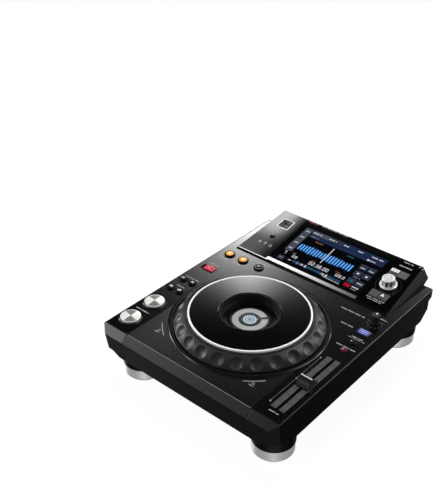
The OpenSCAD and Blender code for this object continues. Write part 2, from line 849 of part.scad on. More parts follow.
module selector_panel() {
    color([0.04, 0.04, 0.05]) difference() {
        union() {
            slope_plate(side_x + clear, disp_half);
            on_slope() slope_boss_places() rod(boss_small, -slope_board, -panel_t / 2);
        }
        on_slope() {
            for (v = [keys_low_v, keys_high_v]) translate([selector_x, v, 0])
                block(key_pitch + key_hole, key_hole, -2 * panel_t, over);
            translate([selector_x, selector_v, 0]) rod(selector_bush + clear, -2 * panel_t, over);
        }
    }
}

module slope_boss_places() {
    for (v = [(keys_low_v + selector_v) / 2, (keys_high_v + selector_v) / 2])
        translate([selector_x, v, 0]) children();
}

selector_bush = 4.6;
shaft_r = 3;
shaft_low = -8;

module selector_knob() {
    low = selector_travel + 0.4;
    waist = selector_r - 4.6;
    cap_r = selector_r - 3.6;
    flutes = 18;
    flute_r = 0.9;
    color("silver") on_slope() translate([selector_x, selector_v, 0]) difference() {
        rotate_extrude() polygon([
            [0, low], [selector_r - 0.8, low], [selector_r, low + 0.8], [selector_r, low + 2],
            [selector_r - 1.6, low + 3.2],
            [waist + 0.6, low + 4], [waist, low + 5], [waist, selector_h - 3], [cap_r, selector_h - 2],
            [cap_r, selector_h - 0.8], [cap_r - 0.8, selector_h], [0, selector_h]]);
        rod(shaft_r + run_fit, 0, selector_h - 2.4);
        rod(selector_bush + 0.6, 0, low + 1.6);
        for (i = [0 : flutes - 1]) rotate(i * 360 / flutes)
            translate([waist + flute_r / 3, 0, 0]) rod(flute_r, low + 4.6, selector_h - 2.2);
    }
}

module selector_shaft() {
    color("gainsboro") on_slope() translate([selector_x, selector_v, 0])
        rod(shaft_r, shaft_low, selector_h - 2.8);
}

module selector_encoder() {
    side = 13;
    top = -panel_t - 1.4;
    color([0.2, 0.2, 0.22]) on_slope() translate([selector_x, selector_v, 0]) difference() {
        union() {
            block(side, side, -slope_board, top);
            rod(selector_bush, top - over, 0.8);
        }
        rod(shaft_r + run_fit, shaft_low - selector_travel - 0.4, 2 * over);
    }
}

// A square key of the selector panel, side by side with its twin
module menu_key(s, v) {
    flange = key_w + flange_w / 3;
    on_slope() translate([selector_x + s * key_pitch / 2, v, 0]) {
        difference() {
            block(key_w, key_w, -panel_t - 1, 1.4);
            for (a = [0, 90]) rotate(a) both_sides() translate([key_w / 2, 0, 1.4]) rotate([0, 45, 0])
                cube([0.8, 2 * key_w, 0.8], center = true);
        }
        block(flange, key_w + 2 * flange_w, -panel_t - rest_gap - flange_t, -panel_t - rest_gap);
        rod(boss_small, -slope_board + slope_switch + press + rest_gap, -panel_t);
    }
}

module upper_left_key() color("gray") menu_key(-1, keys_high_v);
module upper_right_key() color("gray") menu_key(1, keys_high_v);
module lower_left_key() color("gray") menu_key(-1, keys_low_v);
module lower_right_key() color("gray") menu_key(1, keys_low_v);

// A round push button through the deck: cap, retaining flange and stem
module push_button(x, y, r, up, rise, seat) {
    translate([x, dy(y), 0]) {
        domed(r, seat - rest_gap - over, deck_h + up, rise);
        rod(r + flange_w, seat - rest_gap - flange_t, seat - rest_gap);
        rod(boss_small, stem_z, seat - rest_gap);
    }
}

// Heights of the caps above the deck, and the rise of their domes
cap_up = 3;
cap_dome = 1;
transport_up = 4;
transport_dome = 0.8;
small_up = 2.2;
small_dome = 0.8;

module loop_in_button() color("orange")
    push_button(left_x, loop_y, loop_r, cap_up, cap_dome, under_z);

module loop_out_button() color("orange")
    push_button(left_x + loop_pitch, loop_y, loop_r, cap_up, cap_dome, under_z);

module reloop_button() color("black")
    push_button(left_x + reloop_pitch, loop_y, reloop_r, cap_up, cap_dome, under_z);

module track_back_button() color("black")
    push_button(left_x - seek_pitch / 2, track_y, seek_r, cap_up, cap_dome, under_z);

module track_forward_button() color("black")
    push_button(left_x + seek_pitch / 2, track_y, seek_r, cap_up, cap_dome, under_z);

module search_back_button() color("black")
    push_button(left_x - seek_pitch / 2, search_y, seek_r, cap_up, cap_dome, under_z);

module search_forward_button() color("black")
    push_button(left_x + seek_pitch / 2, search_y, seek_r, cap_up, cap_dome, under_z);

module cue_button() color("silver")
    push_button(left_x, cue_y, transport_r, transport_up, transport_dome, ring_foot);

module play_button() color("silver")
    push_button(left_x, play_y, transport_r, transport_up, transport_dome, ring_foot);

module tempo_range_button() color("black")
    push_button(right_x, range_y, small_r, small_up, small_dome, under_z);

module tempo_lock_button() color("firebrick")
    push_button(right_x, lock_y, small_r, small_up, small_dome, under_z);

ring_foot = under_z - 1.5;

module transport_rings() {
    inner = transport_r + clear;
    outer = transport_r + transport_ring;
    top = deck_h + 1.4;
    flange = outer + 1.6;
    color([0.05, 0.05, 0.05]) for (y = [play_y, cue_y]) translate([left_x, dy(y), 0]) difference() {
        rotate_extrude() polygon([
            [inner, ring_foot], [flange, ring_foot], [flange, under_z], [outer, under_z],
            [outer, top - 0.6], [outer - 0.6, top], [inner + 0.6, top], [inner, top - 0.6]]);
        // A flat that keeps the flange clear of the side wall
        translate([-column_in, -flange, ring_foot - over])
            cube([wall_t + clear, 2 * flange, under_z - ring_foot + over]);
    }
}

pocket_z = under_z - 3;
neck_w = 8;
neck_d = 4;

module direction_lever() {
    top = deck_h + lever_up;
    grooves = 4;
    groove_r = 0.8;
    edge = 1.2;
    x0 = left_x + lever_travel / 2;
    color("crimson") translate([x0, dy(lever_y), 0]) {
        difference() {
            block(lever_w, lever_d, pocket_z + 0.6, top);
            for (i = [0 : grooves - 1]) translate([(i - (grooves - 1) / 2) * lever_w / (grooves + 1), 0, top])
                rotate([90, 0, 0]) cylinder(r = groove_r, h = 2 * lever_d, center = true);
            both_sides() translate([lever_w / 2, 0, top]) rotate([0, 45, 0])
                cube([edge, 2 * lever_d, edge], center = true);
        }
        block(neck_w, neck_d, board_z + 4, pocket_z + 1);
    }
}

module direction_switch() {
    w = lever_w + lever_travel + 6;
    d = lever_d + 5;
    color([0.08, 0.08, 0.08]) translate([left_x, dy(lever_y), 0]) difference() {
        block(w, d, board_z, under_z);
        block(lever_w + lever_travel + 2 * clear, lever_d + 2 * clear, pocket_z, under_z + over);
        block(neck_w + lever_travel + 2 * clear, neck_d + 2 * clear, board_z + 3, under_z);
    }
}

pot_bush = 4.6;

module speed_knob() {
    low = deck_h + 1.2;
    top = deck_h + speed_h;
    grip = speed_r - 1;
    flutes = 14;
    color([0.08, 0.08, 0.08]) translate([right_x, dy(speed_y), 0]) {
        difference() {
            union() {
                rod(speed_r, low, low + 1.8);
                rod(grip, low, top);
            }
            rod(pot_bush + 0.6, low - over, low + 2);
            for (i = [0 : flutes - 1]) rotate((i + 0.5) * 360 / flutes)
                translate([grip + 0.3, 0, 0]) rod(0.8, low + 2.6, top + over);
        }
        rod(shaft_r, board_z + 4, low + 3);
    }
}

module speed_pot() {
    side = 13;
    color([0.2, 0.3, 0.25]) translate([right_x, dy(speed_y), 0]) difference() {
        union() {
            block(side, side, board_z, under_z - 1);
            rod(pot_bush, under_z - 2, deck_h + 1.4);
        }
        rod(shaft_r + run_fit, board_z + 3, deck_h + 2 * over);
    }
}

module jog_mode_button() {
    top = deck_h + small_up;
    seat = under_z - rest_gap;
    color("royalblue") translate([right_x, dy(mode_y), 0]) {
        difference() {
            block(mode_w, mode_d, seat - over, top);
            both_sides() translate([mode_w / 2, 0, top]) rotate([0, 45, 0])
                cube([0.9, 2 * mode_w, 0.9], center = true);
            for (s = [-1, 1]) translate([0, s * mode_d / 2, top]) rotate([45, 0, 0])
                cube([2 * mode_w, 0.9, 0.9], center = true);
        }
        block(mode_w + 2 * flange_w, mode_d + 2 * flange_w, seat - flange_t, seat);
        rod(boss_small, stem_z, seat);
    }
}

fader_slot = 3.2;
fader_stem = 7;

module tempo_cap() {
    low = deck_h + 0.8;
    top = deck_h + cap_h;
    ridge = 5;
    toe = 3;
    scoop = dome_r(norm([cap_d / 2 - ridge / 2, cap_h - toe]) / 2, 1.6);
    color([0.14, 0.14, 0.14]) translate([fader_x, dy(fader_y), 0]) {
        difference() {
            along_x(cap_w) polygon([
                [-cap_d / 2, low], [cap_d / 2, low], [cap_d / 2, deck_h + toe],
                [ridge / 2, top], [-ridge / 2, top], [-cap_d / 2, deck_h + toe]]);
            for (s = [-1, 1]) translate([0, s * scoop_y(scoop, ridge, toe), scoop_z(scoop, ridge, toe)])
                rotate([0, 90, 0]) cylinder(r = scoop, h = 2 * cap_w, center = true);
        }
        block(fader_slot - 2 * clear, fader_stem, board_z + 5, low + over);
    }
}

// The axis of the finger scoop on each slope of the fader's cap
function scoop_run(ridge) = cap_d / 2 - ridge / 2;
function scoop_len(ridge, toe) = norm([scoop_run(ridge), cap_h - toe]);
function scoop_off(r, ridge, toe) = sqrt(r * r - pow(scoop_len(ridge, toe) / 2, 2));
function scoop_y(r, ridge, toe) =
    (cap_d / 2 + ridge / 2) / 2 + scoop_off(r, ridge, toe) * (cap_h - toe) / scoop_len(ridge, toe);
function scoop_z(r, ridge, toe) =
    deck_h + (cap_h + toe) / 2 + scoop_off(r, ridge, toe) * scoop_run(ridge) / scoop_len(ridge, toe);

module tempo_fader() {
    w = 14;
    l = fader_travel + 26;
    color("dimgray") translate([fader_x, dy(fader_y), 0]) difference() {
        block(w, l, board_z, under_z);
        block(fader_slot, fader_travel + fader_stem + 2 * clear, board_z + 4, under_z + over);
    }
}

module foot_places() {
    for (y = [front_y + foot_front, rear_y - foot_rear]) translate([half_w - foot_in, y, 0]) children();
}

band_top = pad_t + band_h;
spigot_r = 24;
screw_r = 1.6;

module foot_collars() {
    color([0.07, 0.07, 0.07]) difference() {
        both_sides() foot_places() union() {
            rod(foot_r, band_top, base_z + relief_h + over);
            rod(spigot_r - 0.1, pad_t, band_top + over);
        }
        case_solid();
        case_shadow();
        both_sides() foot_places() rod(screw_r + clear, 0, base_z);
    }
}

// All that lies above the flat of the underside, apart from the raised corners
module case_shadow() {
    difference() {
        translate([-half_w - foot_r, front_y - foot_r, base_z])
            cube([case_w + 2 * foot_r, overall_d + 2 * foot_r, wall_h]);
        both_sides() relief(0);
    }
}

module foot_bands() {
    edge = 1.2;
    color("silver") both_sides() foot_places() rotate_extrude() polygon([
        [spigot_r, pad_t], [band_r - edge, pad_t], [band_r, pad_t + edge], [band_r, band_top - edge / 2],
        [band_r - edge / 2, band_top], [spigot_r, band_top]]);
}

module foot_pads() {
    color("black") both_sides() foot_places() difference() {
        rod(band_r - 3, 0, pad_t);
        rod(6, -over, pad_t + over);
    }
}

// Places of the connectors on the rear panel, from the side walls
jack_axis = pan_top + jack_z;
sound_in = 58;
sound_pitch = 18;
digital_in = 98;
lan_in = 124;
data_in = 148;
inlet_in = 46;
power_in = 84;
lock_in = 34;
rca_x = [half_w - sound_in, half_w - sound_in - sound_pitch, half_w - digital_in];
lan_x = half_w - lan_in;
data_x = half_w - data_in;
inlet_x = -half_w + inlet_in;
power_x = -half_w + power_in;
lock_x = half_w - lock_in;
rca_w = 13;
lan_w = 16;
data_w = 13;
inlet_w = 30;
inlet_h = 22;
power_w = 12;
power_h = 9;
lock_w = 7;
lock_h = 3;

// From the rear panel's outer face: X across, Y outwards, Z from the connectors' axis
module at_rear(x) translate([x, panel_y, jack_axis]) children();

// A box round the connectors' axis
module rear_block(w, h, y0, y1) translate([-w / 2, y0, -h / 2]) cube([w, y1 - y0, h]);

// A rod along the connectors' axis
module rear_rod(r, y0, y1) translate([0, y1, 0]) rotate([90, 0, 0]) cylinder(r = r, h = y1 - y0);

module rear_panel() {
    x1 = half_w - wall_t - clear;
    grow = 2 * 0.2;
    color("dimgray") difference() {
        translate([-x1, panel_y - rear_plate_t, pan_top])
            cube([2 * x1, rear_plate_t, under_z - clear - pan_top]);
        for (x = rca_x) at_rear(x) rear_block(rca_w - 2 + grow, rca_w - 2 + grow, -2 * rear_plate_t, over);
        at_rear(lan_x) rear_block(lan_w - 2 + grow, lan_w - 3 + grow, -2 * rear_plate_t, over);
        at_rear(data_x) rear_block(data_w - 2 + grow, data_w - 3 + grow, -2 * rear_plate_t, over);
        at_rear(inlet_x) rear_block(inlet_w - 2 + grow, inlet_h - 2 + grow, -2 * rear_plate_t, over);
        at_rear(power_x) rear_block(power_w + 2 * clear, power_h + 2 * clear, -2 * rear_plate_t, over);
        at_rear(lock_x) rear_block(lock_w, lock_h, -2 * rear_plate_t, over);
    }
}

module rear_jacks() {
    depth = 14;
    color("silver") {
        for (x = rca_x) at_rear(x) difference() {
            union() {
                rear_block(rca_w - 2, rca_w - 2, -depth, over / 2);
                rear_block(rca_w, rca_w, 0, jack_flange);
                rear_rod(4.2, 0, jack_l);
            }
            rear_rod(1.7, -depth / 2, jack_l + over);
        }
        at_rear(lan_x) difference() {
            union() {
                rear_block(lan_w - 2, lan_w - 3, -depth - 4, over / 2);
                rear_block(lan_w, lan_w - 1, 0, jack_flange);
            }
            rear_block(lan_w - 4.2, lan_w - 8, -depth, jack_flange + over);
            translate([0, 0, -3.6]) rear_block(lan_w - 10, 3, -depth / 2, jack_flange + over);
        }
        at_rear(data_x) difference() {
            union() {
                rear_block(data_w - 2, data_w - 3, -depth, over / 2);
                rear_block(data_w, data_w - 1, 0, jack_flange);
            }
            difference() {
                rear_block(data_w - 4.5, data_w - 5.2, -depth + 2, jack_flange + over);
                rear_block(data_w - 7.5, data_w - 9.8, -depth, 0);
            }
        }
    }
}

module power_inlet() {
    depth = 18;
    well_w = inlet_w - 6;
    well_h = inlet_h - 5;
    pin = [2, 4];
    color([0.1, 0.1, 0.1]) at_rear(inlet_x) {
        difference() {
            union() {
                rear_block(inlet_w - 2, inlet_h - 2, -depth - 2, over / 2);
                rear_block(inlet_w, inlet_h, 0, jack_flange);
            }
            rear_block(well_w, well_h, -depth, jack_flange + over);
        }
        for (p = [[-7, -2], [0, 2], [7, -2]]) translate([p[0], 0, p[1]])
            rear_block(pin[0], pin[1], -depth - over, -5);
    }
}

module power_button() {
    color("black") at_rear(power_x) {
        rear_block(power_w, power_h, -6, jack_flange + power_travel + 1);
        rear_block(power_w + 3, power_h + 3, -rear_plate_t - rest_gap - 2, -rear_plate_t - rest_gap);
    }
}

main_w = 120;
main_d = 84;
supply_w = 78;
supply_d = 96;
low_board_z = pan_top + board_depth / 2;
// Free depth between the two low boards and the rear panel
main_back = 22;
supply_back = 24;
// Side of a large chip, and height of the tall parts on the supply board
chip_w = main_w / 5;
tall_h = supply_d / 5;

// The four fixing points of a board
module four_corners(w, d) {
    edge = 6;
    for (sx = [-1, 1], sy = [-1, 1]) translate([sx * (w / 2 - edge), sy * (d / 2 - edge), 0]) children();
}

module main_board_places() {
    translate([ring_r / 2, panel_y - main_back - main_d / 2, 0])
        four_corners(main_w, main_d) children();
}

module power_board_places() {
    translate([-ring_r + supply_w / 4, panel_y - supply_back - supply_d / 2, 0])
        four_corners(supply_w, supply_d) children();
}

module main_board() {
    color("darkgreen") translate([ring_r / 2, panel_y - main_back - main_d / 2, 0]) {
        block(main_w, main_d, low_board_z, low_board_z + board_t);
        translate([-main_w / 5, 0, 0]) block(chip_w, chip_w, low_board_z, low_board_z + 2 * board_t);
        translate([main_w / 5, main_d / 5, 0])
            block(0.6 * chip_w, 0.75 * chip_w, low_board_z, low_board_z + 1.8 * board_t);
        translate([main_w / 5, -main_d / 5, 0])
            block(0.75 * chip_w, chip_w / 2, low_board_z, low_board_z + 1.8 * board_t);
    }
}

module power_board() {
    color("olive") translate([-ring_r + supply_w / 4, panel_y - supply_back - supply_d / 2, 0]) {
        block(supply_w, supply_d, low_board_z, low_board_z + board_t);
        translate([-supply_w / 10, supply_d / 10, 0])
            block(supply_w / 3, supply_d / 4, low_board_z, low_board_z + tall_h);
        for (p = [[1, 1.2], [1, 0.3], [-1, -1.1]]) translate([p[0] * supply_w / 4, p[1] * supply_d / 4, 0])
            rod(supply_w / 10, low_board_z, low_board_z + tall_h);
        translate([supply_w / 4, -supply_d / 4, 0])
            block(supply_w / 20, supply_d / 3, low_board_z, low_board_z + tall_h);
    }
}

// A key switch on a board, below a stem
module key_switch(top) block(6, 6, top - board_t / 2, top + switch_h);

module key_boards() {
    left_w = strip_w - 8;
    left_y0 = dy(play_y) - transport_r;
    left_y1 = dy(loop_y) + loop_r + 4;
    arm_x = left_x + reloop_pitch + reloop_r + 2;
    arm_d = 2 * loop_r + 8;
    right_y0 = dy(lock_y) - small_r - 3;
    right_y1 = dy(speed_y) + 10;
    color("seagreen") {
        translate([left_x - left_w / 2, left_y0, board_z - board_t])
            cube([left_w, left_y1 - left_y0, board_t]);
        translate([left_x, left_y1 - arm_d, board_z - board_t]) cube([arm_x - left_x, arm_d, board_t]);
        for (y = [play_y, cue_y]) translate([left_x, dy(y), 0]) key_switch(board_z);
        for (y = [search_y, track_y], s = [-1, 1])
            translate([left_x + s * seek_pitch / 2, dy(y), 0]) key_switch(board_z);
        for (x = [0, loop_pitch, reloop_pitch]) translate([left_x + x, dy(loop_y), 0]) key_switch(board_z);
        translate([right_x - left_w / 2, right_y0, board_z - board_t])
            cube([left_w, right_y1 - right_y0, board_t]);
        for (y = [lock_y, range_y, mode_y]) translate([right_x, dy(y), 0]) key_switch(board_z);
        on_slope() {
            translate([selector_x, (keys_low_v + keys_high_v) / 2, 0])
                block(2 * key_pitch + 6, keys_high_v - keys_low_v + key_w + 6,
                    -slope_board - board_t, -slope_board);
            for (v = [keys_low_v, keys_high_v], s = [-1, 1]) translate([selector_x + s * key_pitch / 2, v, 0])
                block(6, 6, -slope_board - board_t / 2, -slope_board + slope_switch);
            translate([port_x, release_v, 0]) {
                block(16, 2 * release_arm + 6, -slope_board - board_t, -slope_board);
                block(6, 6, -slope_board - board_t / 2, -slope_board + slope_switch);
            }
        }
    }
}

module bottom_screw_places() {
    both_sides() for (y = [jog_y - ring_r / 2, jog_y + ring_r / 2, rear_y - foot_rear - foot_r - 8])
        translate([ring_r + strip_w / 2, y, 0]) children();
}

module case_screws() {
    head_r = 3.4;
    head_t = 1.8;
    color("gray") bottom_screw_places() union() {
        rod(head_r, base_z - head_t, base_z);
        rod(screw_r, base_z - head_t / 2, pan_top + 4);
    }
}

base_pan();
housing();
deck_plate();
front_panel();
jog_surround();
jog_dial();
jog_plate();
jog_trim_ring();
jog_post();
jog_bearing();
jog_encoder_disc();
jog_sensor();
jog_display();
jog_carrier();
display_housing();
usb_panel();
screen_glass();
lcd_module();
display_trim();
selector_panel();
usb_socket();
usb_frame();
usb_stop_button();
selector_knob();
selector_shaft();
selector_encoder();
upper_left_key();
upper_right_key();
lower_left_key();
lower_right_key();
loop_in_button();
loop_out_button();
reloop_button();
direction_lever();
direction_switch();
track_back_button();
track_forward_button();
search_back_button();
search_forward_button();
cue_button();
play_button();
transport_rings();
speed_knob();
speed_pot();
jog_mode_button();
tempo_range_button();
tempo_lock_button();
tempo_cap();
tempo_fader();
foot_collars();
foot_bands();
foot_pads();
rear_panel();
rear_jacks();
power_inlet();
power_button();
main_board();
power_board();
key_boards();
case_screws();
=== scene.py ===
"""Looks of a tabletop player for DJs: finishes, prints, screen picture, small parts and the studio.

The file is laid out as an add-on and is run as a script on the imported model, its fixed frame.
"""
import math

import bmesh
import bpy
from bpy.props import FloatProperty, FloatVectorProperty, IntProperty, PointerProperty
from mathutils import Matrix, Vector


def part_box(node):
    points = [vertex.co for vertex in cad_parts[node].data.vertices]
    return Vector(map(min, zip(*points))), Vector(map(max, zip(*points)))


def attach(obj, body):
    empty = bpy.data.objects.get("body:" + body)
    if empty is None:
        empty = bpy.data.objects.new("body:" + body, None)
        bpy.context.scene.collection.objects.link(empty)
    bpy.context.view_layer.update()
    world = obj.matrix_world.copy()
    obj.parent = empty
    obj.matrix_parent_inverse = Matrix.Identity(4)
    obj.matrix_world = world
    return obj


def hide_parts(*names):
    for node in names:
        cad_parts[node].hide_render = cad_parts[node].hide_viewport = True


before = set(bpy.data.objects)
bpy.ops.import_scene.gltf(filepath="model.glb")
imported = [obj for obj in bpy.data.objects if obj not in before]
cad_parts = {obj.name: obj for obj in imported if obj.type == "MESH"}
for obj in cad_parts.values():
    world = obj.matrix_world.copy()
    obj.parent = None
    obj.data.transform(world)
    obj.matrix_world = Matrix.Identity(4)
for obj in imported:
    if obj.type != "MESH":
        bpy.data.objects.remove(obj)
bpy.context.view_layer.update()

bl_info = {
    "name": "Tabletop player looks",
    "version": (1, 0, 0),
    "blender": (4, 5, 0),
    "location": "3D View > Sidebar > Player",
    "description": "Finishes, prints, screen picture and studio of a tabletop player",
    "category": "Object",
}

# Millimetres to metres
MM = 0.001
# Forward reach of the front bevel, in millimetres
BEVEL_D = 10
# Places that the CAD model gives, in millimetres
DECK_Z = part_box("housing")[1].z / MM
DECK_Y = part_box("housing")[0].y / MM + BEVEL_D
JOG = (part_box("jog_trim_ring")[0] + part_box("jog_trim_ring")[1]) / (2 * MM)
SELECTOR = (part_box("selector_shaft")[0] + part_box("selector_shaft")[1]) / (2 * MM)
# The display's slope: front edge of its top, and its tilt
SLOPE_Y = DECK_Y + 268.5
SLOPE_Z = DECK_Z + 2.4
TILT = math.atan(19.9 / 111.5)
# Radius of the cue and play buttons, in millimetres
TRANSPORT_R = 14.5
# Thickness of the deck plate, in millimetres
DECK_T = 3
# Width of a square key and its rise off the slope, in millimetres
KEY_W = 14
KEY_RISE = 1.4
# Number of flutes of the selector knob
FLUTES = 18
# Direction of the bright fans painted on turned metal as its highlight
HIGHLIGHT_FAN_ANGLE = math.radians(41)
# Depth of the recess in the dial's middle, in millimetres, and the direction of the marker beside it
WELL_DEPTH = 0.6
MARKER_ANGLE = math.radians(47)
# How far a print stands off the surface that carries it, in millimetres
PRINT_LOW = 0.01
PRINT_HIGH = 0.07
# Where the bright strip's painted sheen fades across, and where the left panel's painted sheen darkens across
# and towards its front
STRIP_SHEEN_FADE = (-45 * MM, 85 * MM)
PANEL_SHEEN_X = (-118 * MM, -80 * MM)
PANEL_SHEEN_Y = (115 * MM, 165 * MM)
# How far inside the top plate's edge the dial turns from grey to black, in millimetres
WELL_INSET = 35
# Section of the dial from the head of its slope round to its foot: radius and height above the deck
DIAL_SECTION = ((90.7, 15.4), (89.8, 15.4), (89.7, 16.9), (89.3, 17.2), (88.5, 17.2), (88.1, 16.9),
                (87.8, 13.8), (43, 13.8), (43, 18), (42.4, 18.6), (41.2, 18.6), (37.5, 6.1), (33, 5.5),
                (32.4, 5.5), (32.4, -3), (32.05, -4), (32.05, -12.2), (36, -12.2), (36, -9), (40, -9),
                (40, -6), (38, -4), (38, 8.8), (40, 10.8), (86, 10.8), (96.6, 3.4), (100.6, -1),
                (105.1, -1), (105.8, -0.4))
# Foot and head of the dial's slope, its bulge, and the rows of faces along it
SLOPE_FOOT = (105.9, 0.6)
SLOPE_HEAD = (90.9, 16.5)
SLOPE_BULGE = 1.8
SLOPE_ROWS = 32
# The finger hollows: number, faces from one to the next, half width, half length, depth, roundness
HOLLOWS, HOLLOW_STEPS = 24, 26
HOLLOW_W, HOLLOW_L, HOLLOW_D, HOLLOW_ROUND = 8.8, 8.8, 3.2, 0.9
# How far the ring of hollows is turned, and where its middle line runs on the slope
HOLLOW_TURN = math.radians(-8.5)
HOLLOW_LINE = 0.47
# Section of the dial's surround: a flange under the deck and a low lip that slopes outward
LIP_SECTION = ((98, -DECK_T - 3), (115.3, -DECK_T - 3), (115.3, -DECK_T), (113.5, -DECK_T), (113.5, -0.75),
               (113.35, -0.6), (112.5, 0.34), (112.2, 0.56), (111.6, 0.66), (110.5, 0.7), (108.6, 0.7),
               (108.6, -DECK_T), (98, -DECK_T))
LIP_STEPS = 240
# Edges of a turned form that bend more than this stay sharp
SHARP = math.radians(42)


def on_deck(x, y, lift):
    """A place on the deck: across, behind its front edge, above it; in millimetres."""
    return Vector((x, DECK_Y + y, DECK_Z + lift)) * MM


def on_slope(x, y, lift):
    """A place on the display's slope: across, plan distance behind the deck's front edge, off it."""
    run = DECK_Y + y - SLOPE_Y
    return Vector((x, SLOPE_Y + run - lift * math.sin(TILT),
                   SLOPE_Z + run * math.tan(TILT) + lift * math.cos(TILT))) * MM


def on_jog(x, y, lift):
    """A place about the jog dial's axis: across, back, above the deck."""
    return Vector((JOG.x + x, JOG.y + y, DECK_Z + lift)) * MM


def key_place(node):
    """The middle of a key's top on the slope: across, and plan distance behind the deck's front edge."""
    rear = (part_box(node)[1].z / MM - SLOPE_Z - KEY_RISE * math.cos(TILT)) / math.tan(TILT)
    return middle(node).x / MM, rear + SLOPE_Y - DECK_Y - KEY_W / 2 * math.cos(TILT)


def middle(node):
    """The middle of a CAD node, in metres."""
    low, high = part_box(node)
    return (low + high) / 2


def deck_place(node):
    """The middle of a node as a place on the deck, and the height of its top; in millimetres."""
    return middle(node).x / MM, middle(node).y / MM - DECK_Y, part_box(node)[1].z / MM - DECK_Z


# Node trees written as Python expressions

class Value:
    """A socket in Python arithmetic: every operation adds a Math node to its tree."""

    def __init__(self, tree, socket):
        self.tree = tree
        self.socket = socket

    def math(self, operation, *terms):
        return self.tree.node("ShaderNodeMath", {"operation": operation}, terms)

    def __rsub__(self, other):
        return self.math("SUBTRACT", other, self)

    def step(self, low, high):
        """0 below low, 1 above high and smooth between."""
        return self.tree.node("ShaderNodeMapRange", {"interpolation_type": "SMOOTHSTEP"},
                              {"Value": self, "From Min": low, "From Max": high})


def math_method(operation):
    """A method of Value that adds one Math node."""
    return lambda self, *others: self.math(operation, self, *others)


for method, operation in (("__add__", "ADD"), ("__radd__", "ADD"), ("__sub__", "SUBTRACT"),
                          ("__mul__", "MULTIPLY"), ("__rmul__", "MULTIPLY"), ("__truediv__", "DIVIDE"),
                          ("__pow__", "POWER"), ("over", "GREATER_THAN"), ("sine", "SINE"),
                          ("cosine", "COSINE"), ("exponent", "EXPONENT"), ("least", "MINIMUM"),
                          ("most", "MAXIMUM"), ("size", "ABSOLUTE")):
    setattr(Value, method, math_method(operation))


class Tree:
    """The nodes of a material or of a modifier."""

    def __init__(self, nodes):
        self.nodes = nodes

    def node(self, kind, settings=None, inputs=(), output=0):
        """Adds a node, sets it up, feeds its sockets and gives back one of its outputs."""
        made = self.nodes.nodes.new(kind)
        for key, value in (settings or {}).items():
            setattr(made, key, value)
        for key, value in inputs.items() if isinstance(inputs, dict) else enumerate(inputs):
            self.feed(made.inputs[key], value)
        return Value(self, made.outputs[output])

    def feed(self, socket, value):
        if isinstance(value, Value):
            self.nodes.links.new(value.socket, socket)
        elif socket.type == "RGBA" and len(value) == 3:
            socket.default_value = (*value, 1)
        else:
            socket.default_value = value

    def parts(self, vector):
        """The three numbers of a vector."""
        made = self.node("ShaderNodeSeparateXYZ", None, [vector]).socket.node
        return [Value(self, out) for out in made.outputs]

    def vector(self, x, y, z):
        return self.node("ShaderNodeCombineXYZ", None, [x, y, z])


class Finish(Tree):
    """A material: nodes round one Principled shader."""

    def __init__(self, name, **constants):
        self.material = bpy.data.materials.new(name)
        self.material.use_nodes = True
        super().__init__(self.material.node_tree)
        self.shader = self.nodes.nodes["Principled BSDF"]
        self.place = self.node("ShaderNodeTexCoord", output="Object")
        for key, value in constants.items():
            self.set(key.replace("_", " ").title().replace("Ior", "IOR"), value)

    def set(self, socket, value):
        self.feed(self.shader.inputs[socket], value)

    def noise(self, scale, detail=2, place=None):
        return self.node("ShaderNodeTexNoise", None,
                         {"Vector": place or self.place, "Scale": scale, "Detail": detail})

    def blend(self, mask, first, second):
        """A colour between two colours."""
        return self.node("ShaderNodeMix", {"data_type": "RGBA"}, {0: mask, 6: first, 7: second}, 2)

    def tone(self, colour, spread, mask):
        """A colour that wanders a little round one colour."""
        return self.blend(mask, [c * (1 - spread) for c in colour],
                          [min(1, c * (1 + spread)) for c in colour])

    def relief(self, height, depth, strength=1.0, edge=0.0):
        """Bumps of a depth in metres, on rounded edges if an edge radius is given."""
        inputs = {"Height": height, "Distance": depth, "Strength": strength}
        if edge:
            inputs["Normal"] = self.node("ShaderNodeBevel", {"samples": 6}, {"Radius": edge})
        self.set("Normal", self.node("ShaderNodeBump", None, inputs))

    def done(self, colour, rough, *relief):
        """Sets the colour, the roughness and the relief, and gives back the material."""
        self.set("Base Color", colour)
        self.set("Roughness", rough)
        self.relief(*relief)
        return self.material

    def radius(self, centre):
        """The distance from an upright axis, in metres."""
        x, y, _ = self.parts(self.place)
        return ((x - centre[0]) ** 2 + (y - centre[1]) ** 2) ** 0.5


# Finishes

def moulded(name, colour, rough, grain=0.4, edge=0.4, **constants):
    """Moulded plastic: a fine grain, a slight mottle and soft edges."""
    made = Finish(name, **constants)
    return made.done(made.tone(colour, 0.1, made.noise(38, 3)),
                     rough * (0.9 + 0.2 * made.noise(260)),
                     made.noise(2400), 0.03 * MM, grain, edge * MM)


def polished(name, colour, rough, **constants):
    """Glossy plastic with faint waviness and handling marks."""
    made = Finish(name, **constants)
    return made.done(made.tone(colour, 0.12, made.noise(60)),
                     rough + 0.1 * made.noise(90, 4).step(0.5, 0.75),
                     made.noise(140, 1), 0.02 * MM, 0.35, 0.25 * MM)


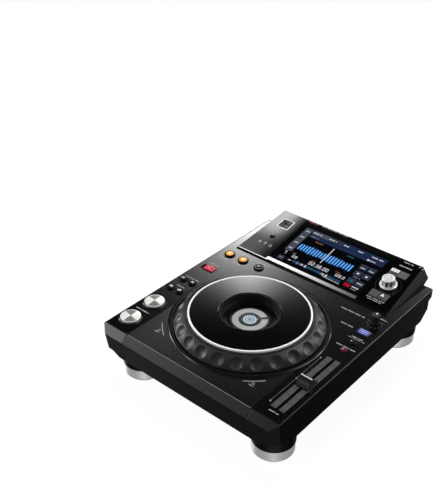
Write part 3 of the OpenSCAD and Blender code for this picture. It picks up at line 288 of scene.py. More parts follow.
def painted_fan_metal(name, bright, dull, centre, reach):
    """Turned metal with painted highlights: two bright fans and two dull ones round an upright axis, a bright
    rim and a warm tint at the fans' edges, with fine spokes.
    """
    made = Finish(name, metallic=0.25)
    x, y, _ = made.parts(made.place)
    angle = x.math("ARCTAN2", y - centre[1], x - centre[0])
    spokes = made.noise(5, 3, made.vector(angle.cosine(), angle.sine(), 0))
    highlight_lobe = (2 * (angle - HIGHLIGHT_FAN_ANGLE)).cosine() + 0.9 * (spokes - 0.5)
    rim = made.radius(centre).step(reach * 0.9, reach * 0.94)
    # Painted highlight: the bright fans and the bright rim; painted reflection: the warm tint at the fans'
    # edges
    highlight_fan = highlight_lobe.step(-0.42, -0.1).most(rim)
    edge = highlight_lobe.step(-0.5, -0.25) * (1 - highlight_lobe.step(-0.25, 0.0)) * (1 - rim)
    warm_highlight_tint = made.blend(edge, (1, 1, 1), (0.95, 0.93, 0.7))
    shade = made.blend(highlight_fan, dull, made.tone(bright, 0.1, spokes))
    made.set("Base Color", made.node("ShaderNodeMix", {"data_type": "RGBA", "blend_type": "MULTIPLY"},
                                     {0: 1.0, 6: shade, 7: warm_highlight_tint}, 2))
    made.set("Roughness", 0.25 + 0.1 * spokes)
    made.relief(spokes, 0.02 * MM, 0.3, 0.3 * MM)
    return made.material


def dial_finish(name, grey, black, centre, well):
    """The dial: satin grey rim, black lacquer inside its well."""
    made = Finish(name, specular_ior_level=0.38)
    rim = made.radius(centre).step(well, well + 1 * MM)
    return made.done(made.blend(rim, black, made.tone(grey, 0.06, made.noise(60, 3))),
                     0.45 - 0.14 * rim + 0.04 * made.noise(260),
                     made.noise(2400), 0.02 * MM, 0.06)


def dished(name, colour, centre, fall, rough):
    """Lacquered sheet that falls a little from its middle, with turned rings under the lacquer."""
    made = Finish(name)
    radius = made.radius(centre)
    rings = made.noise(1800, 3, made.vector(radius, 0, 0))
    return made.done(made.tone(colour, 0.2, rings),
                     rough + 0.04 * rings,
                     radius * -math.tan(math.radians(fall)) + rings * (0.004 * MM), 1.0, 1.0, 0.3 * MM)


def brushed(name, colour, rough, scale=(1, 1, 40), metal=1.0, grain=0.5, **constants):
    """Brushed metal: long streaks along one direction."""
    made = Finish(name, metallic=metal, **constants)
    x, y, z = made.parts(made.place)
    streaks = made.noise(160, 4, made.vector(x * scale[0], y * scale[1], z * scale[2]))
    return made.done(made.tone(colour, 0.14, streaks),
                     rough - 0.06 + 0.12 * streaks,
                     streaks, 0.02 * MM, grain, 0.3 * MM)


def lit_cap(name, colour, glow, centre, reach):
    """A lit button: brightest in its middle, darker outward, black beyond its reach, under a clear skin."""
    made = Finish(name, coat_weight=0.6, coat_roughness=0.1, emission_strength=1.0)
    fall = made.radius(centre).step(reach * 0.35, reach)
    dark = made.radius(centre).step(reach, reach + 0.4 * MM)
    cap = made.blend(fall, colour, [c * 0.5 for c in colour])
    lamp = made.blend(fall, glow, [c * 0.3 for c in glow])
    made.set("Base Color", made.blend(dark, cap, (0.004, 0.004, 0.004)))
    made.set("Emission Color", made.blend(dark, lamp, (0, 0, 0)))
    made.set("Roughness", 0.25 + 0.1 * made.noise(300))
    made.relief(made.noise(900), 0.01 * MM, 0.4, 0.3 * MM)
    return made.material


def ringed(name, colour, pale, centre, inner, outer):
    """Glossy plastic with one printed ring."""
    made = Finish(name, coat_weight=0.3)
    radius = made.radius(centre)
    soft = 0.2 * MM
    ring = radius.step(inner, inner + soft) * (1 - radius.step(outer, outer + soft))
    return made.done(made.blend(ring, made.tone(colour, 0.12, made.noise(60)), pale),
                     0.16 + 0.1 * made.noise(90, 4).step(0.5, 0.75),
                     made.noise(140, 1), 0.02 * MM, 0.35, 0.25 * MM)


def glowing(name, colour, glow, rough=0.2):
    """A lit print, a patch of the screen, or a painted glow on a part that holds no lamp, with a fine pixel
    mottle.
    """
    made = Finish(name, emission_strength=1.0)
    dots = made.noise(1500, 1)
    made.set("Base Color", made.tone(colour, 0.1, dots))
    made.set("Emission Color", made.tone(glow, 0.12, dots))
    made.set("Roughness", rough + 0.05 * dots)
    return made.material


def ink(name, colour):
    """Printed ink with slightly uneven cover; it also draws one grey line that is a painted highlight."""
    made = Finish(name)
    made.set("Base Color", made.tone(colour, 0.1, made.noise(700)))
    made.set("Roughness", 0.5 + 0.1 * made.noise(500))
    return made.material


def rubbery(name, colour):
    """Matt rubber with a coarse grain."""
    made = Finish(name)
    return made.done(made.tone(colour, 0.25, made.noise(400, 4)),
                     0.75 + 0.15 * made.noise(900),
                     made.noise(1800, 3), 0.05 * MM, 0.6)


def board(name, colour):
    """Circuit board: green lacquer over faint tracks."""
    made = Finish(name, coat_weight=0.4)
    x, y, _ = made.parts(made.place)
    tracks = ((x * 1400).sine() * (y * 900).sine()).over(0.55)
    return made.done(made.blend(tracks, colour, [min(1, c * 1.7) for c in colour]),
                     0.35 + 0.2 * made.noise(200),
                     tracks, 0.03 * MM, 0.5)


def selector_finish(name, silver, dark):
    """The selector: bright flange and cap, dark flutes round the waist between them."""
    made = Finish(name)
    x, y, z = made.parts(made.place)
    base_x, base_y, base_z = SELECTOR * MM
    # Height along the knob's own axis, from the middle of its shaft
    rise = (z - base_z) * math.cos(TILT) - (y - base_y) * math.sin(TILT)
    waist = rise.step(2.4 * MM, 2.9 * MM) * (1 - rise.step(10.4 * MM, 10.9 * MM))
    angle = x.math("ARCTAN2", y - base_y - rise * math.sin(TILT), x - base_x)
    flutes = waist * (FLUTES / 2 * angle).cosine().step(-0.2, 0.3)
    streaks = made.noise(600, 3)
    made.set("Base Color", made.blend(flutes, made.tone(silver, 0.12, streaks),
                                      made.tone(dark, 0.2, streaks)))
    made.set("Metallic", 0.35 - 0.3 * flutes)
    made.set("Roughness", 0.22 + 0.1 * streaks + 0.15 * flutes)
    made.relief(made.noise(1200), 0.015 * MM, 0.2, 0.25 * MM)
    return made.material


def strip_painted_sheen(name, bright, dull):
    """The display's bright strip: satin metal with a painted sheen that fades from bright at the left to dull
    at the right.
    """
    made = Finish(name)
    x, y, z = made.parts(made.place)
    streaks = made.noise(300, 3, made.vector(x * 0.2, y * 12, z * 12))
    # Painted sheen: share of the dull colour, growing towards the right
    side = x.step(*STRIP_SHEEN_FADE) ** 0.7
    return made.done(made.blend(side, bright, dull),
                     0.3 + 0.12 * streaks,
                     streaks, 0.01 * MM, 0.5, 0.2 * MM)


def front_painted_sheen(name, colour):
    """Satin front panel with a painted sheen: paler at its left end and darker to the right; smoother on its
    top.
    """
    made = Finish(name, specular_ior_level=0.35)
    x, _, z = made.parts(made.place)
    low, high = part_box("front_panel")
    # Painted sheen: the base colour runs from 1.8 times the front colour at the left end to a fifth of it
    # three quarters across
    fade = x.step(low.x, low.x + 0.75 * (high.x - low.x))
    made.set("Base Color", made.blend(fade, made.tone([c * 1.8 for c in colour], 0.1, made.noise(38, 3)),
                                      [c * 0.2 for c in colour]))
    top = z.step(high.z - 0.3 * MM, high.z - 0.05 * MM)
    made.set("Roughness", 0.31 + 0.04 * made.noise(260) - 0.14 * top * fade)
    made.relief(made.noise(2400), 0.03 * MM, 0.02, 0.5 * MM)
    return made.material


def panel_painted_sheen(name, pale, dark):
    """Lacquer with a painted sheen: pale at the left rear, dark at the right and the front."""
    made = Finish(name)
    x, y, _ = made.parts(made.place)
    # Painted sheen: share of the pale colour, falling to the right and towards the front
    share = (1 - x.step(*PANEL_SHEEN_X)) * (0.18 + 0.82 * y.step(*PANEL_SHEEN_Y))
    return made.done(made.blend(share, dark, made.tone(pale, 0.1, made.noise(60))),
                     0.07 + 0.03 * made.noise(240),
                     made.noise(2400), 0.02 * MM, 0.02, 0.3 * MM)


def centre_finish(name, grey, dark):
    """The plate under the dial's well: a grey ring on black."""
    made = Finish(name)
    radius = made.radius((JOG.x * MM, JOG.y * MM))
    ring = radius.step(15.4 * MM, 15.8 * MM) * (1 - radius.step(24.7 * MM, 25.1 * MM))
    return made.done(made.blend(ring, dark, made.tone(grey, 0.08, made.noise(200))),
                     0.35 + 0.1 * made.noise(300),
                     made.noise(1500), 0.01 * MM, 0.3, 0.2 * MM)


def frame_finish(name, pale, dark):
    """The port's frame: a pale lit line outside, dark towards the port."""
    made = Finish(name, emission_strength=1.0)
    x, y, _ = made.parts(made.place)
    low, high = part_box("usb_frame")
    mid = (low + high) / 2
    across = (x - mid.x).size() / (high.x - low.x)
    along = (y - mid.y).size() / (high.y - low.y)
    rim = across.most(along).step(0.43, 0.45)
    line = made.tone(pale, 0.06, made.noise(300))
    made.set("Base Color", made.blend(rim, dark, line))
    made.set("Emission Color", made.blend(rim, (0, 0, 0), [c * 0.12 for c in pale]))
    made.set("Roughness", 0.3 + 0.1 * made.noise(300))
    return made.material


def coat_node(node, material):
    """Gives a CAD node its finish."""
    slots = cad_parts[node].data.materials
    slots.clear()
    slots.append(material)


# Thin raised shapes

class Prints:
    """Thin raised shapes on one face of the object, gathered into a single mesh."""

    def __init__(self, at):
        self.at = at
        self.mesh = bmesh.new()

    def slab(self, outline, slot=0, high=PRINT_HIGH, low=PRINT_LOW):
        """A plate over an outline that runs anticlockwise."""
        top = [self.mesh.verts.new(self.at(u, v, high)) for u, v in outline]
        foot = [self.mesh.verts.new(self.at(u, v, low)) for u, v in outline]
        faces = [self.mesh.faces.new(top), self.mesh.faces.new(foot[::-1])]
        for i in range(len(outline)):
            j = (i + 1) % len(outline)
            faces.append(self.mesh.faces.new((foot[i], foot[j], top[j], top[i])))
        for face in faces:
            face.material_index = slot

    def bar(self, u, v, width, depth, slot=0, corner=0.0, **heights):
        """A rectangle about a middle, with cut corners if asked."""
        a, b = width / 2, depth / 2
        if not corner:
            outline = [(u - a, v - b), (u + a, v - b), (u + a, v + b), (u - a, v + b)]
        else:
            c = corner
            outline = [(u - a + c, v - b), (u + a - c, v - b), (u + a, v - b + c), (u + a, v + b - c),
                       (u + a - c, v + b), (u - a + c, v + b), (u - a, v + b - c), (u - a, v - b + c)]
        self.slab(outline, slot, **heights)

    def disc(self, u, v, radius, slot=0, steps=40, **heights):
        turn = 2 * math.pi / steps
        self.slab([(u + radius * math.cos(i * turn), v + radius * math.sin(i * turn)) for i in range(steps)],
                  slot, **heights)

    def arc(self, u, v, inner, outer, start=0.0, sweep=360.0, slot=0, steps=48, **heights):
        """A ring or a part of one, between two radii."""
        turn = math.radians(sweep) / steps
        for i in range(steps):
            a, b = math.radians(start) + i * turn, math.radians(start) + (i + 1) * turn
            self.slab([(u + inner * math.cos(a), v + inner * math.sin(a)),
                       (u + outer * math.cos(a), v + outer * math.sin(a)),
                       (u + outer * math.cos(b), v + outer * math.sin(b)),
                       (u + inner * math.cos(b), v + inner * math.sin(b))], slot, **heights)

    def line(self, a, b, width, slot=0, **heights):
        """A straight stroke between two places."""
        run = Vector(b) - Vector(a)
        side = Vector((run.y, -run.x)).normalized() * width / 2
        self.slab([(a[0] + side.x, a[1] + side.y), (b[0] + side.x, b[1] + side.y),
                   (b[0] - side.x, b[1] - side.y), (a[0] - side.x, a[1] - side.y)], slot, **heights)

    def words(self, u, v, length, height, slot=0, **heights):
        """A row of blocks that stands for a printed word, about a middle."""
        widths = (0.62, 0.5, 0.7, 0.42, 0.66, 0.56)
        at, i = u - length / 2, 0
        while at < u + length / 2 - 0.3 * height:
            width = min(widths[i % len(widths)] * height, u + length / 2 - at)
            if i % 7 != 6:
                self.bar(at + width / 2, v, width, height, slot, **heights)
            at += width + 0.24 * height
            i += 1

    def digits(self, u, v, number, height, slot=0, **heights):
        """Plain seven-stroke figures from a left edge."""
        strokes = {"0": "abcdef", "1": "bc", "2": "abged", "3": "abgcd", "4": "fgbc", "5": "afgcd",
                   "6": "afgedc", "7": "abc", "8": "abcdefg", "9": "abcdfg"}
        wide, thick = height * 0.5, height * 0.16
        places = {"a": (0.5, 1, 1, 0), "g": (0.5, 0.5, 1, 0), "d": (0.5, 0, 1, 0), "f": (0, 0.75, 0, 0.5),
                  "b": (1, 0.75, 0, 0.5), "e": (0, 0.25, 0, 0.5), "c": (1, 0.25, 0, 0.5)}
        for figure in number:
            if figure in strokes:
                for stroke in strokes[figure]:
                    x, y, across, up = places[stroke]
                    self.bar(u + x * wide, v + (y - 0.5) * height, across * wide + thick,
                             up * height + thick, slot, **heights)
            else:
                self.bar(u + wide / 4, v - height / 2, thick, thick, slot, **heights)
            u += wide + 2.4 * thick if figure in strokes else 2.4 * thick

    def done(self, name, materials, body="chassis", slot="lit_white"):
        """Ends the mesh and makes it a piece that rides on a body."""
        return place_piece(name, mesh_of(name, self.mesh), materials, body)


def mesh_of(name, shape):
    """Turns a bmesh into a mesh whose faces point outwards."""
    bmesh.ops.recalc_face_normals(shape, faces=shape.faces[:])
    mesh = bpy.data.meshes.new(name)
    shape.to_mesh(mesh)
    shape.free()
    return mesh


def place_piece(name, mesh, materials, body):
    """Makes an object at the origin that rides on a body of the frame."""
    piece = bpy.data.objects.new(name, mesh)
    bpy.context.scene.collection.objects.link(piece)
    for material in materials:
        if material.name not in mesh.materials:
            mesh.materials.append(material)
    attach(piece, body)
    return piece


# Turned forms

def turned(name, rings):
    """A closed form about the dial's axis, from rings of radius and height that make up its section."""
    shape = bmesh.new()
    steps = len(rings[0])
    angles = [2 * math.pi * j / steps for j in range(steps)]
    loops = [[shape.verts.new(on_jog(r * math.cos(a), r * math.sin(a), z))
              for (r, z), a in zip(ring, angles)] for ring in rings]
    for i, loop in enumerate(loops):
        after = loops[(i + 1) % len(loops)]
        for j in range(steps):
            k = (j + 1) % steps
            shape.faces.new((loop[j], loop[k], after[k], after[j]))
    mesh = mesh_of(name, shape)
    mesh.shade_smooth()
    mesh.set_sharp_from_angle(angle=SHARP)
    return mesh


def dial_form():
    """The jog dial's mesh: a turned form whose slope carries a ring of finger hollows."""
    foot, head = Vector(SLOPE_FOOT), Vector(SLOPE_HEAD)
    length = (head - foot).length
    out = Vector((head.y - foot.y, foot.x - head.x)) / length
    steps = HOLLOWS * HOLLOW_STEPS
    rings = []
    for i in range(SLOPE_ROWS + 1):
        share = i / SLOPE_ROWS
        spot = foot.lerp(head, share) + out * (SLOPE_BULGE * math.sin(math.pi * share))
        along = (share - HOLLOW_LINE) * length / HOLLOW_L
        ring = []
        for j in range(steps):
            turn = 2 * math.pi * j / steps
            offset = (turn - HOLLOW_TURN) % (2 * math.pi / HOLLOWS) - math.pi / HOLLOWS
            reach = (spot.x * offset / HOLLOW_W) ** 2 + along ** 2
            ring.append(spot - out * (HOLLOW_D * max(0, 1 - reach) ** HOLLOW_ROUND))
        rings.append(ring)
    return turned("jog_dial_form", rings + [[spot] * steps for spot in DIAL_SECTION])


# Repeated parts, made by Geometry Nodes

class Growth(Tree):
    """A node tree that makes a row, a ring or a scatter of like parts."""

    KINDS = {"Count": "NodeSocketInt", "Material": "NodeSocketMaterial", "Part": "NodeSocketObject"}

    def __init__(self, name, inputs, vectors=()):
        group = bpy.data.node_groups.new(name, "GeometryNodeTree")
        group.interface.new_socket("Geometry", in_out="OUTPUT", socket_type="NodeSocketGeometry")
        group.interface.new_socket("Geometry", in_out="INPUT", socket_type="NodeSocketGeometry")
        self.keys = {}
        for label in (*inputs, *vectors, "Material"):
            kind = "NodeSocketVector" if label in vectors else self.KINDS.get(label, "NodeSocketFloat")
            self.keys[label] = group.interface.new_socket(label, in_out="INPUT", socket_type=kind).identifier
        super().__init__(group)
        entry = group.nodes.new("NodeGroupInput")
        self.own = Value(self, entry.outputs["Geometry"])
        self.input = {label: Value(self, entry.outputs[label]) for label in self.keys}
        self.exit = group.nodes.new("NodeGroupOutput")

    def close(self, points, part, turn=(0, 0, 0), scale=(1, 1, 1)):
        """Puts the part on every point, makes it real and gives it its material."""
        parts = self.node("GeometryNodeInstanceOnPoints", None,
                          {"Points": points, "Instance": part, "Rotation": turn, "Scale": scale})
        real = self.node("GeometryNodeRealizeInstances", None, [parts])
        done = self.node("GeometryNodeSetMaterial", None,
                         {"Geometry": real, "Material": self.input["Material"]})
        self.nodes.links.new(done.socket, self.exit.inputs[0])

    def grow(self, name, sizes, material, body="chassis", slot="lit_white", base=None):
        """Runs the tree with these sizes and keeps its result as a plain piece."""
        holder = bpy.data.objects.new(name + "_maker", base or bpy.data.meshes.new(name + "_base"))
        bpy.context.scene.collection.objects.link(holder)
        modifier = holder.modifiers.new("grow", "NODES")
        modifier.node_group = self.nodes
        for label, value in {**sizes, "Material": material}.items():
            modifier[self.keys[label]] = value
        holder.update_tag()
        graph = bpy.context.evaluated_depsgraph_get()
        mesh = bpy.data.meshes.new_from_object(holder.evaluated_get(graph))
        if not mesh.polygons:
            raise RuntimeError(f"{name} grew nothing")
        mesh.name = name
        bpy.data.objects.remove(holder)
        return place_piece(name, mesh, [material], body)


def row_points(tree):
    """Points in a straight row."""
    return tree.node("GeometryNodeMeshLine", {"mode": "OFFSET"},
                     {"Count": tree.input["Count"], "Start Location": tree.input["Start"],
                      "Offset": tree.input["Step"]})


def bar_part(tree):
    """The bar that a row or a ring repeats."""
    return tree.node("GeometryNodeMeshCube", None, {"Size": tree.input["Bar"]})


def bar_row():
    """A straight row of like bars."""
    tree = Growth("bar_row", ["Count"], ["Start", "Step", "Bar", "Turn"])
    tree.close(row_points(tree), bar_part(tree), tree.input["Turn"])
    return tree


def wave_row():
    """A row of bars whose heights follow a wandering beat, as a sound wave does."""
    tree = Growth("wave_row", ["Count", "Beat", "Seed"], ["Start", "Step", "Bar", "Turn"])
    index = tree.node("GeometryNodeInputIndex")
    rough = tree.node("ShaderNodeTexNoise", {"noise_dimensions": "1D"},
                      {"W": index * 0.7 + tree.input["Seed"], "Scale": 1.0, "Detail": 3.0})
    pulse = (index * tree.input["Beat"]).sine()
    height = 0.78 + 0.16 * pulse * pulse + 0.6 * (rough - 0.5)
    tree.close(row_points(tree), bar_part(tree), tree.input["Turn"], tree.vector(1.0, height, 1.0))
    return tree


def mark_ring():
    """Bars that stand round an upright axis."""
    tree = Growth("mark_ring", ["Count", "Radius", "First angle", "Angle step"], ["Centre", "Bar"])
    line = tree.node("GeometryNodeMeshLine", {"mode": "OFFSET"}, {"Count": tree.input["Count"]})
    angle = tree.input["First angle"] + tree.node("GeometryNodeInputIndex") * tree.input["Angle step"]
    x, y, z = tree.parts(tree.input["Centre"])
    radius = tree.input["Radius"]
    spot = tree.vector(x + radius * angle.cosine(), y + radius * angle.sine(), z)
    points = tree.node("GeometryNodeSetPosition", None, {"Geometry": line, "Position": spot})
    tree.close(points, bar_part(tree), tree.vector(0.0, 0.0, angle))
    return tree


def part_scatter():
    """One part on every vertex of the base mesh."""
    tree = Growth("part_scatter", ["Part"], ["Turn"])
    part = tree.node("GeometryNodeObjectInfo", None, {"Object": tree.input["Part"]}, "Geometry")
    tree.close(tree.own, part, tree.input["Turn"])
    return tree


def points_mesh(name, spots):
    """A mesh of loose vertices."""
    mesh = bpy.data.meshes.new(name)
    mesh.from_pydata(spots, [], [])
    return mesh


def screw_part(radius, height):
    """A pan-head screw with a cross recess, upright on the origin, as a helper object."""
    shape = bmesh.new()
    steps, rings = 24, [(1.0, 0.0), (1.0, 0.45), (0.86, 0.8), (0.6, 1.0)]
    loops = [[shape.verts.new((radius * k * math.cos(2 * math.pi * i / steps),
                               radius * k * math.sin(2 * math.pi * i / steps), height * h))
              for i in range(steps)] for k, h in rings]
    for lower, upper in zip(loops, loops[1:]):
        for i in range(steps):
            j = (i + 1) % steps
            shape.faces.new((lower[i], lower[j], upper[j], upper[i]))
    shape.faces.new(loops[0][::-1])
    # The recess: a four-armed star, sunk into the head
    arm, waist = 0.42 * radius, 0.12 * radius
    star = []
    for i in range(4):
        a = i * math.pi / 2
        for x, y in ((arm, -waist), (arm, waist), (waist, waist)):
            star.append((x * math.cos(a) - y * math.sin(a), x * math.sin(a) + y * math.cos(a)))
    rim = [shape.verts.new((x, y, height)) for x, y in star]
    floor = [shape.verts.new((x * 0.7, y * 0.7, height * 0.45)) for x, y in star]
    for i in range(len(star)):
        j = (i + 1) % len(star)
        shape.faces.new((rim[i], rim[j], floor[j], floor[i]))
    shape.faces.new(floor)
    edge = [shape.edges.get((loops[-1][i], loops[-1][(i + 1) % steps])) for i in range(steps)]
    inner = [shape.edges.get((rim[i], rim[(i + 1) % len(rim)])) for i in range(len(rim))]
    bmesh.ops.triangle_fill(shape, use_beauty=True, use_dissolve=False, edges=edge + inner)
    part = bpy.data.objects.new("screw_part", mesh_of("screw_part", shape))
    bpy.context.scene.collection.objects.link(part)
    return part


# Settings

def colour_setting(name, description, default):
    """A colour in the panel."""
    return FloatVectorProperty(name=name, description=description, subtype="COLOR", default=default,
                               min=0, max=1)


class PlayerFinishes(bpy.types.PropertyGroup):
    """Colours of the object's finishes."""

    deck: colour_setting("Deck", "Colour of the deck plate", (0.0014, 0.0014, 0.0015))
    case: colour_setting("Case", "Colour of the case moulding", (0.002, 0.002, 0.0021))
    front: colour_setting("Front", "Colour of the front panel", (0.006, 0.006, 0.0061))
    # Panel: the pale colour of the left panel's painted sheen at its left rear
    panel: colour_setting("Panel", "Colour of the display's left panel", (0.47, 0.47, 0.472))
    print: colour_setting("Print", "Colour of the printed marks", (0.42, 0.42, 0.44))


class PlayerScreen(bpy.types.PropertyGroup):
    """The screen's picture."""

    bars: IntProperty(name="Wave bars", description="Number of bars of the large sound wave",
                      default=20, min=5)
    wave_height: FloatProperty(name="Wave height", description="Height of the large sound wave",
                               subtype="DISTANCE", unit="LENGTH", default=19 * MM)


class PlayerStudio(bpy.types.PropertyGroup):
    """Camera and light."""

    lens: FloatProperty(name="Lens", description="Focal length on a 36 mm high sensor", unit="CAMERA",
                        default=60.4)
    eye: FloatVectorProperty(name="Eye", description="Place of the camera", subtype="TRANSLATION",
                             unit="LENGTH", default=(0.5675, -0.7743, 0.7976))
    aim: FloatVectorProperty(name="Aim", description="Direction of the camera", subtype="DIRECTION",
                             default=(-0.5532, 0.6356, -0.5385))


class PlayerPiece:
    """What the player's operators have in common."""

    bl_options = {"REGISTER"}

    @property
    def finishes(self):
        return bpy.context.scene.player_finishes


class PLAYER_OT_case(PlayerPiece, bpy.types.Operator):
    """Give the case, the deck, the display's shell and the feet their finishes"""

    bl_idname = "player.case"
    bl_label = "Case"

    def execute(self, context):
        look = self.finishes
        case = moulded("case_moulding", look.case, 0.18, 0.02, 0.5, specular_ior_level=0.4)
        for node in ("housing", "display_housing"):
            coat_node(node, case)
        coat_node("deck_plate", moulded("deck_lacquer", look.deck, 0.13, 0.006, 0.3))
        coat_node("front_panel", front_painted_sheen("front_moulding", look.front))
        coat_node("usb_panel", panel_painted_sheen("grey_panel", look.panel, (0.008, 0.008, 0.008)))
        coat_node("selector_panel", moulded("panel_gloss", (0.0012, 0.0012, 0.0012), 0.1, 0.006, 0.2))
        coat_node("screen_glass", polished("cover_glass", (0.0015, 0.0015, 0.002), 0.04))
        coat_node("display_trim", strip_painted_sheen("bright_strip", (1.0, 1.0, 1.0), (0.1, 0.1, 0.105)))
        coat_node("foot_collars", moulded("collar_moulding", look.case, 0.3, 0.05, 0.4))
        # The bands glow a little though they hold no lamp: painted light that keeps the metal pale
        coat_node("foot_bands", brushed("band_metal", (0.9, 0.9, 0.91), 0.25, metal=0.95, grain=0.05,
                                         emission_color=(0.24, 0.24, 0.243), emission_strength=1.0))
        coat_node("foot_pads", rubbery("pad_rubber", (0.02, 0.02, 0.02)))
        # Painted highlight: a grey line along the top front edge of the front panel
        low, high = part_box("front_panel")
        front = Prints(on_deck)
        front.bar((low.x + high.x) / (2 * MM), 0.4, (high.x - low.x) / MM - 2, 0.8)
        front.done("deck_front_line", [ink("line_grey", (0.22, 0.22, 0.22))])
        # Painted highlight: a thin glowing pale line along the left panel's front edge
        edge = Prints(on_slope)
        edge.bar(-106, 269.1, 57, 1.1, low=PRINT_LOW, high=0.2)
        edge.done("panel_edge_line", [glowing("edge_white", (0.8, 0.8, 0.8), (0.3, 0.3, 0.3), 0.4)])
        return {"FINISHED"}


class PLAYER_OT_jog(PlayerPiece, bpy.types.Operator):
    """Give the jog dial its finer form and its finishes, and draw its centre display"""

    bl_idname = "player.jog"
    bl_label = "Jog dial"

    def execute(self, context):
        axis = (JOG.x * MM, JOG.y * MM)
        gloss = moulded("surround_gloss", (0.006, 0.006, 0.0065), 0.16, 0.006, 0.1)
        coat_node("jog_surround", gloss)
        lip = turned("jog_surround_form", [[(r, z)] * LIP_STEPS for r, z in LIP_SECTION])
        surround = place_piece("jog_surround_form", lip, [gloss], "chassis")
        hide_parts("jog_surround")
        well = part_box("jog_plate")[1].x - axis[0] - WELL_INSET * MM
        finish = dial_finish("dial_moulding", (0.027, 0.027, 0.028), (0.0008, 0.0008, 0.0008), axis, well)
        coat_node("jog_dial", finish)
        dial = place_piece("jog_dial_form", dial_form(), [finish], "jog")
        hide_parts("jog_dial")
        coat_node("jog_plate", dished("plate_lacquer", (0.0012, 0.0012, 0.0012), axis, 1.1, 0.05))
        # The white ring glows a little though it holds no lamp: painted light that keeps it white in shade
        coat_node("jog_trim_ring", glowing("ring_white", (0.8, 0.8, 0.81), (0.14, 0.14, 0.14), 0.4))
        coat_node("jog_display", centre_finish("centre_grey", (0.36, 0.36, 0.365), (0.003, 0.003, 0.003)))
        self.centre_picture()
        return {"FINISHED"}

    def centre_picture(self):
        """The display in the dial's middle: dark ring, lit disc, marker slot."""
        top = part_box("jog_display")[1].z / MM - DECK_Z
        floor = top - WELL_DEPTH
        dark = polished("centre_black", (0.002, 0.002, 0.002), 0.2)
        blue = glowing("centre_blue", (0.04, 0.06, 0.08), (0.09, 0.14, 0.19))
        pale = glowing("centre_pale", (0.1, 0.13, 0.15), (0.45, 0.55, 0.6))
        red = glowing("centre_red", (0.1, 0.02, 0.02), (0.16, 0.03, 0.04))
        picture = Prints(on_jog)
        ring, disc, ticks = ({"low": floor + low, "high": floor + high}
                             for low, high in ((0.01, 0.1), (0.1, 0.16), (0.16, 0.2)))
        picture.disc(0, 0, 12.7, 0, 64, **ring)
        picture.disc(0, 0, 9.8, 1, 64, **disc)
        for i in range(20):
            picture.arc(0, 0, 7.0, 9.5, 18 * i + 2, 11, 2, 2, **ticks)
        for i in range(10):
            picture.arc(0, 0, 3.4, 5.2, 36 * i + 4, 20, 2, 3, **ticks)
        picture.arc(0, 0, 10.2, 12.3, 38, 18, 3, 4, **disc)
        slot = [Vector((r, s)) for r, s in ((15.6, -1.8), (25.2, -3.0), (25.2, 3.0), (15.6, 1.8))]
        turn = Matrix.Rotation(MARKER_ANGLE, 2)
        picture.slab([tuple(turn @ p) for p in slot], 0, top + 0.08, top + 0.01)
        picture.done("jog_centre_picture", [dark, blue, pale, red], slot="screen")


